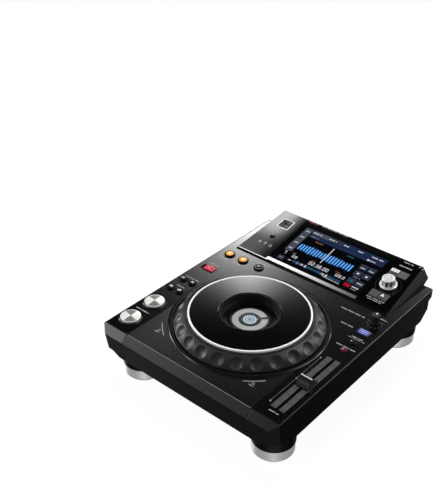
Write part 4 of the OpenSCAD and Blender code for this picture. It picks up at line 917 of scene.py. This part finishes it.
class PLAYER_OT_controls(PlayerPiece, bpy.types.Operator):
    """Give the buttons, knobs and sliders their finishes and marks"""

    bl_idname = "player.controls"
    bl_label = "Controls"

    def execute(self, context):
        black = (0.008, 0.008, 0.009)
        coat_node("reloop_button", ringed("reloop_gloss", black, (0.24, 0.24, 0.23),
                                          middle("reloop_button"), 5 * MM, 5.9 * MM))
        gloss = polished("cap_gloss", black, 0.16, coat_weight=0.3)
        for node in ("track_back_button", "track_forward_button", "search_back_button",
                     "search_forward_button", "tempo_range_button", "usb_stop_button", "transport_rings"):
            coat_node(node, gloss)
        # Cue and play: turned metal with painted highlight fans
        for node in ("cue_button", "play_button"):
            coat_node(node, painted_fan_metal(node + "_metal", (0.9, 0.9, 0.88), (0.2, 0.2, 0.185), middle(node),
                                   TRANSPORT_R * MM))
        # Lit caps: node, finish, colour, glow, reach of the light
        amber = (0.85, 0.38, 0.09), (0.55, 0.22, 0.045), 6.5
        for node, name, colour, glow, reach in (
                ("loop_in_button", "loop_in_button_lamp", *amber),
                ("loop_out_button", "loop_out_button_lamp", *amber),
                ("jog_mode_button", "mode_lamp", (0.025, 0.04, 0.2), (0.02, 0.035, 0.24), 9),
                ("tempo_lock_button", "lock_lamp", (0.06, 0.008, 0.013), (0.04, 0.003, 0.007), 6)):
            coat_node(node, lit_cap(name, colour, glow, middle(node), reach * MM))
        coat_node("direction_lever", polished("lever_red", (0.55, 0.014, 0.06), 0.3))
        coat_node("direction_switch", moulded("switch_black", (0.005, 0.005, 0.005), 0.5))
        for node, tone in (("upper_left_key", 0.075), ("upper_right_key", 0.1), ("lower_left_key", 0.075),
                           ("lower_right_key", 0.075)):
            coat_node(node, moulded(node + "_cap", (tone, tone, tone * 1.02), 0.35, 0.3, 0.3))
        coat_node("selector_knob", selector_finish("selector_metal", (0.9, 0.9, 0.9), (0.02, 0.02, 0.02)))
        coat_node("selector_shaft", brushed("shaft_steel", (0.6, 0.6, 0.62), 0.25))
        coat_node("speed_knob", moulded("knob_black", (0.022, 0.022, 0.022), 0.3, 0.1, 0.3))
        coat_node("tempo_cap", moulded("fader_black", (0.014, 0.014, 0.014), 0.38, 0.4, 0.4))
        coat_node("tempo_fader", moulded("fader_body", (0.004, 0.004, 0.004), 0.5))
        coat_node("usb_socket", polished("port_grey", (0.34, 0.34, 0.345), 0.4))
        coat_node("usb_frame", frame_finish("frame_white", (0.8, 0.8, 0.8), (0.03, 0.03, 0.03)))
        self.marks()
        return {"FINISHED"}

    def marks(self):
        """White lines on the fader's cap and on the speed knob."""
        white = ink("mark_white", (0.8, 0.8, 0.8))
        x, y, top = deck_place("tempo_cap")
        fader = Prints(on_deck)
        fader.bar(x, y, 17.1, 1.5, low=top + 0.01, high=top + 0.1)
        fader.done("fader_line", [white], "tempo")
        x, y, top = deck_place("speed_knob")
        knob = Prints(on_deck)
        knob.bar(x, y + 3.2, 1.5, 4.2, low=top - 0.3, high=top + 0.05)
        knob.done("speed_pointer", [white], "speed")
        self.key_signs(white)
        self.button_frames()

    def key_signs(self, white):
        """A bright plate with two dashes on one key, and an arrow head on another, riding on them."""
        dark = ink("key_dark", (0.01, 0.01, 0.01))
        heights = {"low": KEY_RISE - 0.05, "high": KEY_RISE + 0.05}
        x, y = key_place("upper_left_key")
        plate = Prints(on_slope)
        plate.bar(x, y + 3.3, KEY_W - 1, 6, 0, **heights)
        for side in (-2.4, 2.4):
            plate.bar(x + side, y + 3.3, 2.6, 1.2, 1, low=KEY_RISE + 0.05, high=KEY_RISE + 0.08)
        plate.words(x, y - 3.6, 9, 2, 1, **heights)
        plate.done("upper_left_key_sign", [white, dark], "upper_left_key")
        x, y = key_place("lower_right_key")
        arrow = Prints(on_slope)
        arrow.slab([(x - 5.5, y - 0.2), (x + 0.5, y - 0.2), (x - 2.5, y + 5.4)], 0, **heights)
        arrow.words(x + 0.5, y - 4, 9, 1.6, 1, **heights)
        arrow.done("lower_right_key_sign", [white, dark], "lower_right_key")

    def button_frames(self):
        """A pale frame on the mode button and two rows of blocks on the lever."""
        pale = ink("frame_pale", (0.62, 0.66, 0.85))
        low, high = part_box("jog_mode_button")
        x, y, top = deck_place("jog_mode_button")
        wide, deep = (high.x - low.x) / MM * 0.56, (high.y - low.y) / MM * 0.5
        sign = Prints(on_deck)
        heights = {"low": top - 0.4, "high": top + 0.04}
        for side in (-1, 1):
            sign.bar(x, y + side * deep / 2, wide, 0.7, **heights)
            sign.bar(x + side * wide / 2, y, 0.7, deep, **heights)
        sign.words(x, y, wide * 0.6, 1.4, **heights)
        sign.done("jog_mode_sign", [pale], "jog_mode_button")
        x, y, top = deck_place("direction_lever")
        lever = Prints(on_deck)
        for shift, length in ((1.2, 8), (-1.2, 6)):
            lever.words(x, y + shift, length, 1.3, low=top - 0.4, high=top + 0.04)
        lever.done("lever_sign", [ink("lever_pale", (0.75, 0.3, 0.33))], "direction")


class PLAYER_OT_inside(PlayerPiece, bpy.types.Operator):
    """Give the pan, the rear and the pieces inside their finishes"""

    bl_idname = "player.inside"
    bl_label = "Rear and inside"

    def execute(self, context):
        sheet = moulded("pan_paint", (0.02, 0.02, 0.021), 0.5, 0.6, 0.3)
        for node in ("base_pan", "rear_panel"):
            coat_node(node, sheet)
        coat_node("rear_jacks", brushed("jack_metal", (0.62, 0.6, 0.55), 0.3, (1, 30, 1)))
        dark = moulded("inner_black", (0.012, 0.012, 0.012), 0.45)
        for node in ("power_inlet", "power_button", "jog_post", "jog_sensor", "jog_encoder_disc", "speed_pot",
                     "selector_encoder"):
            coat_node(node, dark)
        coat_node("jog_bearing", brushed("bearing_bronze", (0.55, 0.38, 0.18), 0.3))
        coat_node("jog_carrier", brushed("carrier_steel", (0.45, 0.45, 0.47), 0.35, (30, 1, 1)))
        coat_node("case_screws", brushed("screw_steel", (0.25, 0.25, 0.26), 0.3))
        coat_node("lcd_module", glowing("module_blue", (0.05, 0.07, 0.12), (0.01, 0.015, 0.03)))
        green = board("board_green", (0.012, 0.07, 0.03))
        for node in ("main_board", "power_board", "key_boards"):
            coat_node(node, green)
        return {"FINISHED"}


class PLAYER_OT_deck_prints(PlayerPiece, bpy.types.Operator):
    """Print the marks on the deck"""

    bl_idname = "player.deck_prints"
    bl_label = "Deck prints"

    # Rows of blocks that stand for words: middle across, middle behind the front edge, length, height
    WORDS = ((-132.5, 232, 17, 2.0), (-106, 232, 20, 2.0), (-75, 256.5, 22, 1.6), (-131.5, 207, 20, 1.6),
             (-131.5, 157.2, 26, 1.6), (-131.5, 130.6, 15, 1.6), (-132, 53, 25, 2.0), (95.5, 244.5, 39, 2.0),
             (139, 257, 12, 1.8), (104.5, 215.5, 19, 2.0), (132.5, 199.2, 17, 1.7), (132.5, 196, 25, 1.2),
             (131.8, 173, 31, 1.8), (133.5, 13, 14, 1.8))

    def execute(self, context):
        pale = ink("deck_ink", self.finishes.print)
        faint = ink("deck_ink_faint", [c * 0.6 for c in self.finishes.print])
        prints = Prints(on_deck)
        for x, y, length, height in self.WORDS:
            prints.words(x, y, length, height)
        # Scale of the fader: a line with three dots
        scale_x = 117.8
        prints.line((scale_x, 28), (scale_x, 132), 0.35, 1)
        for y in (26.2, 80, 133.8):
            prints.disc(scale_x, y, 1.1, 0, 20)
        # Arcs of the jog dial's two turns, with their signs
        for side in (-1, 1):
            radius, sweep = 121.5, 13.6
            start = -90 + side * 41.9 - sweep / 2
            prints.arc(0, JOG.y - DECK_Y, radius - 0.5, radius + 0.5, start, sweep, 0, 12)
            x, y = side * 83, 33
            prints.arc(x, y + 3, 1.4, 2.0, 0, 360, 0, 16)
            prints.words(x, y - 1.2, 8, 1.3)
        prints.done("deck_prints", [pale, faint])
        self.button_signs(ink("sign_white", (0.62, 0.62, 0.62)))
        return {"FINISHED"}

    def button_signs(self, pale):
        """Arrows on the track and search buttons, riding on each."""
        for node, way, double in (("track_back_button", -1, False), ("track_forward_button", 1, False),
                                  ("search_back_button", -1, True), ("search_forward_button", 1, True)):
            x, y, top = deck_place(node)
            sign = Prints(on_deck)
            heights = {"low": top - 0.5, "high": top + 0.03}
            for shift in ((-1.6, 1.6) if double else (0.4,)):
                tip, back = x + way * (1.7 + shift), x + way * (shift - 1.5)
                outline = [(back, y - 2.2), (tip, y), (back, y + 2.2)]
                sign.slab(outline if way > 0 else outline[::-1], **heights)
            if not double:
                sign.bar(x + way * 2.7, y, 1.0, 4.4, 0, **heights)
            sign.done(node + "_sign", [pale], node)


class PLAYER_OT_panel_prints(PlayerPiece, bpy.types.Operator):
    """Print the marks on the display's two panels and on its rear bar"""

    bl_idname = "player.panel_prints"
    bl_label = "Panel prints"

    # Rows of blocks: middle across, plan place behind the front edge, length, height, ink
    WORDS = ((-106, 376, 9, 2.0, 0), (-104.5, 337, 6, 1.4, 0), (-104.5, 333, 10, 1.4, 0),
             (-104, 288.5, 15, 1.2, 1), (-28, 378.5, 50, 1.8, 0), (107, 375, 16, 2.0, 0),
             (101, 365.5, 9, 2.4, 0), (113.5, 365.5, 14, 2.4, 0), (106, 285.3, 29, 1.8, 0),
             (106, 281.8, 22, 1.6, 0))

    def execute(self, context):
        pale = ink("panel_ink", [c * 0.9 for c in self.finishes.print])
        red = ink("panel_red", (0.13, 0.045, 0.045))
        faint = ink("panel_ink_faint", [c * 0.5 for c in self.finishes.print])
        prints = Prints(on_slope)
        for x, y, length, height, slot in self.WORDS:
            prints.words(x, y, length, height, slot)
        # Three small signs for the sources and a plug sign
        prints.disc(-114.5, 297, 2.4, 0, 24)
        prints.disc(-114.5, 297, 1.2, 2, 20, low=0.07, high=0.1)
        prints.bar(-104.3, 299, 4.6, 2.2, 0)
        prints.bar(-104.3, 295.6, 1.2, 4.4, 0)
        prints.arc(-93.8, 297, 1.6, 2.6, 0, 360, 0, 20)
        prints.bar(-93.8, 294.6, 4, 1, 0)
        prints.bar(-104, 284.8, 4.4, 2.6, 1)
        prints.bar(-104, 281.4, 1.4, 4, 1)
        prints.slab([(-107.4, 328.6), (-101.6, 328.6), (-104.5, 331)], 0)
        prints.bar(-68, 377.9, 19, 3.4, 1, 0.6)
        # A ring round the selector, and a short stroke and a dot at the panel's rear corner
        prints.arc(SELECTOR.x, SELECTOR.y - DECK_Y, 18.6, 19.1, 0, 360, 3, 48)
        prints.line((123, 375.4), (125.4, 379), 1.2, 0)
        prints.disc(130, 375, 1.6, 2, 20)
        prints.done("panel_prints", [pale, red, faint, ink("panel_ring", (0.03, 0.03, 0.03))])
        return {"FINISHED"}


class PLAYER_OT_screen(PlayerPiece, bpy.types.Operator):
    """Draw the screen's picture on the glass"""

    bl_idname = "player.screen"
    bl_label = "Screen picture"

    # Colours of the picture, by name
    COLOURS = (("night", (0.0012, 0.0013, 0.002)), ("header", (0.012, 0.022, 0.065)),
               ("column", (0.06, 0.07, 0.09)), ("key", (0.026, 0.034, 0.056)), ("white", (0.6, 0.61, 0.63)),
               ("amber", (0.17, 0.08, 0.03)), ("red", (0.33, 0.006, 0.018)), ("teal", (0.015, 0.11, 0.13)),
               ("blue", (0.02, 0.07, 0.2)), ("pale", (0.2, 0.22, 0.26)))
    # Fields: left, right, front, rear, colour, layer
    FIELDS = ((-72, 79, 279, 366, "night", 1), (-56, 78, 353.5, 364.5, "header", 2),
              (-56, -24, 354.5, 363.5, "column", 3), (-24, 0, 354.5, 363.5, "key", 3),
              (-56, 78, 346.5, 352.8, "header", 2), (-69, -58, 280.5, 289.5, "key", 2),
              (50.5, 60.5, 284.5, 291.5, "red", 2), (-53, 46, 281.6, 291.6, "night", 2))
    # Rows of blocks: middle across, plan place behind the front edge, length, height, colour
    WORDS = ((-47, 359, 16, 2.2, "white"), (-18, 359, 14, 2.2, "white"), (7, 359, 9, 2.2, "white"),
             (33, 359, 9, 2.2, "white"), (63, 359, 20, 2.2, "white"), (-46, 349.8, 14, 2.0, "pale"),
             (60, 350, 10, 2.0, "white"), (-63.5, 285, 6, 2.0, "pale"), (-32, 342, 15, 3.0, "amber"),
             (27, 341.5, 13, 2.4, "teal"), (59, 308, 12, 1.7, "pale"), (70, 299, 9, 2.0, "white"),
             (69.5, 289, 12, 2.4, "white"), (70, 284.4, 12, 2.0, "pale"), (-15, 303.4, 8, 2.0, "amber"),
             (30, 302.8, 9, 2.0, "amber"))
    # Times and counters: left end, plan place, figures, height, colour
    FIGURES = ((-66, 298, "7", 5.5, "white"), (-52, 301.8, "03", 3.0, "pale"),
               (-52, 296, "128", 4.6, "white"), (-19, 297.4, "02.38.00", 6.0, "white"),
               (27, 297, "128.0", 5.0, "white"))
    # Colours of the strip that shows the whole track, in turn
    TRACK = ("teal", "blue", "pale", "blue", "teal", "white", "blue")

    def execute(self, context):
        inks = [glowing("screen_" + name, [c * 0.1 for c in colour], colour, 0.1)
                for name, colour in self.COLOURS]
        slots = {name: i for i, (name, _) in enumerate(self.COLOURS)}
        picture = Prints(on_slope)
        lit = {"low": 0.07, "high": 0.1}
        track = {"low": 0.08, "high": 0.11}

        def field(x0, x1, y0, y1, colour, layer):
            picture.bar((x0 + x1) / 2, (y0 + y1) / 2, x1 - x0, y1 - y0, slots[colour],
                        low=0.02 * layer - 0.01, high=0.02 * layer + 0.01)

        for row in self.FIELDS:
            field(*row)
        for *place, colour in self.WORDS:
            picture.words(*place, slots[colour], **lit)
        for *place, colour in self.FIGURES:
            picture.digits(*place, slots[colour], **lit)
        picture.bar(52, 350, 4, 3.6, slots["white"], 0.8, **lit)
        # Column of keys on the left
        for i in range(4):
            field(-70.5, -58, 349 - 15.2 * i, 363.6 - 15.2 * i, "column", 2)
            picture.words(-64, 356 - 15.2 * i, 7, 2.2, slots["white"], **lit)
        # Keys on the right
        for x in (49.5, 64):
            for front, rear in ((326.5, 338), (311, 322.5), (293.5, 304.5)):
                field(x, x + 12.6, front, rear, "key", 2)
            picture.words(x + 6.3, 330, 8, 1.9, slots["white"], **lit)
            picture.disc(x + 6.3, 316.8, 1.9, slots["white"], 20, **lit)
        picture.bar(56, 298.5, 5, 4.4, slots["teal"], 1, **lit)
        # Strip of the whole track
        for i in range(30):
            reach = 1.0 + 3.4 * abs(math.sin(1.7 * i)) + 1.8 * abs(math.sin(0.45 * i + 0.6))
            colour = self.TRACK[(3 * i + i // 4) % len(self.TRACK)]
            picture.bar(-43 + 2.95 * i, 287.3, 2.2, reach, slots[colour], **track)
        picture.line((14, 284), (45, 283), 0.8, slots["white"], **track)
        picture.words(-48, 286.4, 6, 1.8, slots["white"], **track)
        # Cursor of the wave
        picture.bar(-4.8, 324.5, 1.4, 38, slots["white"], low=0.2, high=0.24)
        picture.done("screen_picture", inks, slot="screen")
        self.wave(context.scene.player_screen)
        return {"FINISHED"}

    def wave(self, screen):
        """The large sound wave: a row of narrow bright bars on a row of wide dark ones."""
        left, right, y = -53.0, 45.0, 320.5
        tree = wave_row()
        step = (on_slope(right, y, 0) - on_slope(left, y, 0)) / screen.bars
        for name, wide, reach, seed, lift, colours in (
                ("wave_back", 0.98, 1.0, 3.0, 0.10, ((0.002, 0.006, 0.02), (0.004, 0.02, 0.08))),
                ("wave_front", 0.46, 0.86, 11.0, 0.15, ((0.006, 0.03, 0.08), (0.12, 0.4, 0.95)))):
            sizes = {"Count": screen.bars, "Beat": 0.37, "Seed": seed, "Start": on_slope(left, y, lift),
                     "Step": step, "Bar": Vector((step.x * wide, screen.wave_height * reach, 0.04 * MM)),
                     "Turn": Vector((TILT, 0, 0))}
            tree.grow(name, sizes, glowing(name + "_glow", *colours), slot="screen")


class PLAYER_OT_scales(PlayerPiece, bpy.types.Operator):
    """Grow the scales of the fader and of the speed knob"""

    bl_idname = "player.scales"
    bl_label = "Scales"

    def execute(self, context):
        pale = ink("scale_ink", [c * 0.15 for c in self.finishes.print])
        dark = ink("scale_gap", (0.003, 0.003, 0.003))
        fader = middle("tempo_fader").x / MM
        row = bar_row()
        for name, side in (("left", -1), ("right", 1)):
            for part, count, pitch, depth, lift, colour in (("field", 18, 6.8, 6.8, 0.03, pale),
                                                            ("gaps", 9, 13.6, 0.7, 0.07, dark)):
                sizes = {"Count": count, "Start": on_deck(fader + side * 6.3, 23, lift),
                         "Step": Vector((0, pitch * MM, 0)), "Bar": Vector((8.2, depth, 0.03)) * MM,
                         "Turn": Vector((0, 0, 0))}
                row.grow(f"fader_scale_{name}_{part}", sizes, colour)
        spot = middle("speed_knob") / MM
        ring = mark_ring()
        ring.grow("speed_scale", {"Count": 9, "Radius": 10.6 * MM, "First angle": math.radians(150),
                                  "Angle step": math.radians(30), "Bar": Vector((1.8, 0.7, 0.07)) * MM,
                                  "Centre": on_deck(spot.x, spot.y - DECK_Y, 0.045)},
                  ink("speed_ink", [c * 0.5 for c in self.finishes.print]))
        return {"FINISHED"}


class PLAYER_OT_small_parts(PlayerPiece, bpy.types.Operator):
    """Add the screws of the rear panel"""

    bl_idname = "player.small_parts"
    bl_label = "Small parts"

    def execute(self, context):
        steel = brushed("screw_black", (0.16, 0.16, 0.17), 0.28)
        head = screw_part(2.6 * MM, 1.3 * MM)
        scatter = part_scatter()
        low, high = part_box("rear_panel")
        edge, inset, sunk = 8 * MM, 5 * MM, 0.9 * MM
        spots = [(x, high.y - sunk, z) for x in (low.x + edge, -40 * MM, 60 * MM, high.x - edge)
                 for z in (low.z + inset, high.z - inset)]
        scatter.grow("rear_screws", {"Part": head, "Turn": Vector((-math.pi / 2, 0, 0))}, steel,
                     slot="steel", base=points_mesh("rear_screw_spots", spots))
        bpy.data.objects.remove(head)
        return {"FINISHED"}


class PLAYER_OT_stage(PlayerPiece, bpy.types.Operator):
    """Set up the floor, the light and the camera"""

    bl_idname = "player.stage"
    bl_label = "Stage"

    # Bright patches of the room that glossy things see: direction, peak, fade with the angle, most.
    # A window at the far left, a box at the front left, a strip at the right, a glow at the back, low
    # lamps at the left and the back, a lamp at the right rear, then what the floor throws back
    PATCHES = (((-0.543, 0.683, 0.488), 56, 39.7, 30), ((-0.658, -0.576, 0.485), 10, 11, 10),
               ((0.59, 0.45, 0.67), 10, 8, 6), ((-0.32, 0.77, 0.552), 2, 30, 2),
               ((-0.97, -0.16, 0.16), 40, 14, 12), ((0.2, 0.97, 0.02), 30, 11, 9),
               ((0.552, 0.747, 0.393), 12, 14, 9), ((-0.835, 0.147, -0.53), 2.5, 6, 1.5),
               ((0.07, 0.845, -0.53), 1.0, 14, 0.6), ((0.556, -0.64, -0.53), 0.6, 3, 0.5))
    # Soft boxes that light what is matt: name, place, width, power
    LAMPS = (("above", (-0.2, 0.3, 1.6), 0.8, 20), ("front_left", (-1.2, -1.1, 1.0), 0.6, 14),
             ("right", (1.5, 0.6, 0.9), 0.6, 4))
    # Light of the room away from its lamps: to what is glossy, more of it from the front, and to what is matt
    ROOM_DIM, ROOM_FRONT, ROOM_MATT = 0.0115, 0.03, 0.14
    # Half width of the floor and how far it lies under the feet
    FLOOR_SIZE, FLOOR_DROP = 6, 0.2 * MM
    # Height of the camera's sensor in its own millimetres, and how far it sees
    SENSOR, FARTHEST = 36, 50

    def execute(self, context):
        studio = context.scene.player_studio
        self.floor()
        self.world(context.scene)
        self.lights()
        camera = bpy.data.cameras.new("camera")
        camera.sensor_fit = "VERTICAL"
        camera.sensor_height = self.SENSOR
        camera.lens = studio.lens
        camera.clip_end = self.FARTHEST
        eye = bpy.data.objects.new("camera", camera)
        eye.location = studio.eye
        eye.rotation_euler = Vector(studio.aim).to_track_quat("-Z", "Y").to_euler()
        context.scene.collection.objects.link(eye)
        context.scene.camera = eye
        context.scene.view_settings.view_transform = "Standard"
        return {"FINISHED"}

    def floor(self):
        """A pale floor, lit by itself so that shadows stay faint; what is glossy or matt doesn't see it."""
        shape = bmesh.new()
        bmesh.ops.create_grid(shape, x_segments=8, y_segments=8, size=self.FLOOR_SIZE)
        bmesh.ops.translate(shape, verts=shape.verts[:], vec=(0, 0, -self.FLOOR_DROP))
        floor = bpy.data.objects.new("floor", mesh_of("floor", shape))
        bpy.context.scene.collection.objects.link(floor)
        made = Finish("floor_paper", emission_strength=1.0)
        made.set("Base Color", made.tone((0.1, 0.1, 0.1), 0.015, made.noise(3)))
        made.set("Emission Color", made.tone((0.94, 0.94, 0.94), 0.015, made.noise(3)))
        made.set("Roughness", 0.8 + 0.1 * made.noise(60))
        floor.data.materials.append(made.material)
        floor.visible_glossy = False
        floor.visible_diffuse = False

    def world(self, scene):
        """White to the eye, evenly dim to what is matt, and a dark room with lamps to what is glossy."""
        world = bpy.data.worlds.new("studio")
        world.use_nodes = True
        scene.world = world
        tree = Tree(world.node_tree)
        tree.nodes.nodes.remove(tree.nodes.nodes["Background"])
        way = tree.node("ShaderNodeTexCoord", output="Generated")
        x, y, z = tree.parts(way)

        def lamp(direction, peak, fade, most):
            """A bright patch of the room that fades with the angle from its middle."""
            near = tree.node("ShaderNodeVectorMath", {"operation": "DOT_PRODUCT"},
                             [way, Vector(direction).normalized()], "Value")
            return (peak * (-fade * near.math("ARCCOSINE", near)).exponent()).least(most)

        front = z.step(0.0, 0.3) * (1 - (0.8 * y - 0.6 * x).step(0.1, 0.5))
        light = self.ROOM_DIM + self.ROOM_FRONT * front
        for patch in self.PATCHES:
            light = light + lamp(*patch)
        shade = tree.node("ShaderNodeEmission", None, {"Color": (1, 1, 1, 1), "Strength": light})
        eye = tree.node("ShaderNodeLightPath", output="Is Camera Ray")
        plain = tree.node("ShaderNodeEmission", None,
                          {"Color": (1, 1, 1, 1), "Strength": self.ROOM_MATT + (1 - self.ROOM_MATT) * eye})
        gloss = tree.node("ShaderNodeLightPath", output="Is Glossy Ray")
        mixed = tree.node("ShaderNodeMixShader", None, [gloss, plain, shade])
        tree.feed(tree.nodes.nodes["World Output"].inputs["Surface"], mixed)

    def lights(self):
        """Soft boxes, which glossy things don't see."""
        for name, spot, size, power in self.LAMPS:
            lamp = bpy.data.lights.new(name, "AREA")
            lamp.shape = "DISK"
            lamp.size = size
            lamp.energy = power
            box = bpy.data.objects.new(name, lamp)
            box.visible_glossy = False
            box.location = spot
            box.rotation_euler = (-Vector(spot)).to_track_quat("-Z", "Y").to_euler()
            bpy.context.scene.collection.objects.link(box)


class PLAYER_PT_panel(bpy.types.Panel):
    """Settings and steps of the player"""

    bl_idname = "PLAYER_PT_panel"
    bl_label = "Player"
    bl_space_type = "VIEW_3D"
    bl_region_type = "UI"
    bl_category = "Player"

    def draw(self, context):
        scene = context.scene
        for group in (scene.player_finishes, scene.player_screen, scene.player_studio):
            box = self.layout.box()
            for key in group.__annotations__:
                box.prop(group, key)
        for step in STEPS:
            self.layout.operator(step.bl_idname)


GROUPS = (("player_finishes", PlayerFinishes), ("player_screen", PlayerScreen),
          ("player_studio", PlayerStudio))
STEPS = (PLAYER_OT_stage, PLAYER_OT_case, PLAYER_OT_jog, PLAYER_OT_controls, PLAYER_OT_inside,
         PLAYER_OT_deck_prints, PLAYER_OT_panel_prints, PLAYER_OT_screen, PLAYER_OT_scales,
         PLAYER_OT_small_parts)


def register():
    for key, group in GROUPS:
        bpy.utils.register_class(group)
        setattr(bpy.types.Scene, key, PointerProperty(type=group))
    for step in STEPS:
        bpy.utils.register_class(step)
    bpy.utils.register_class(PLAYER_PT_panel)


def unregister():
    bpy.utils.unregister_class(PLAYER_PT_panel)
    for step in reversed(STEPS):
        bpy.utils.unregister_class(step)
    for key, group in reversed(GROUPS):
        delattr(bpy.types.Scene, key)
        bpy.utils.unregister_class(group)


def main():
    """Runs every step in order."""
    register()
    for step in STEPS:
        family, action = step.bl_idname.split(".")
        getattr(getattr(bpy.ops, family), action)()


if __name__ == "__main__":
    main()
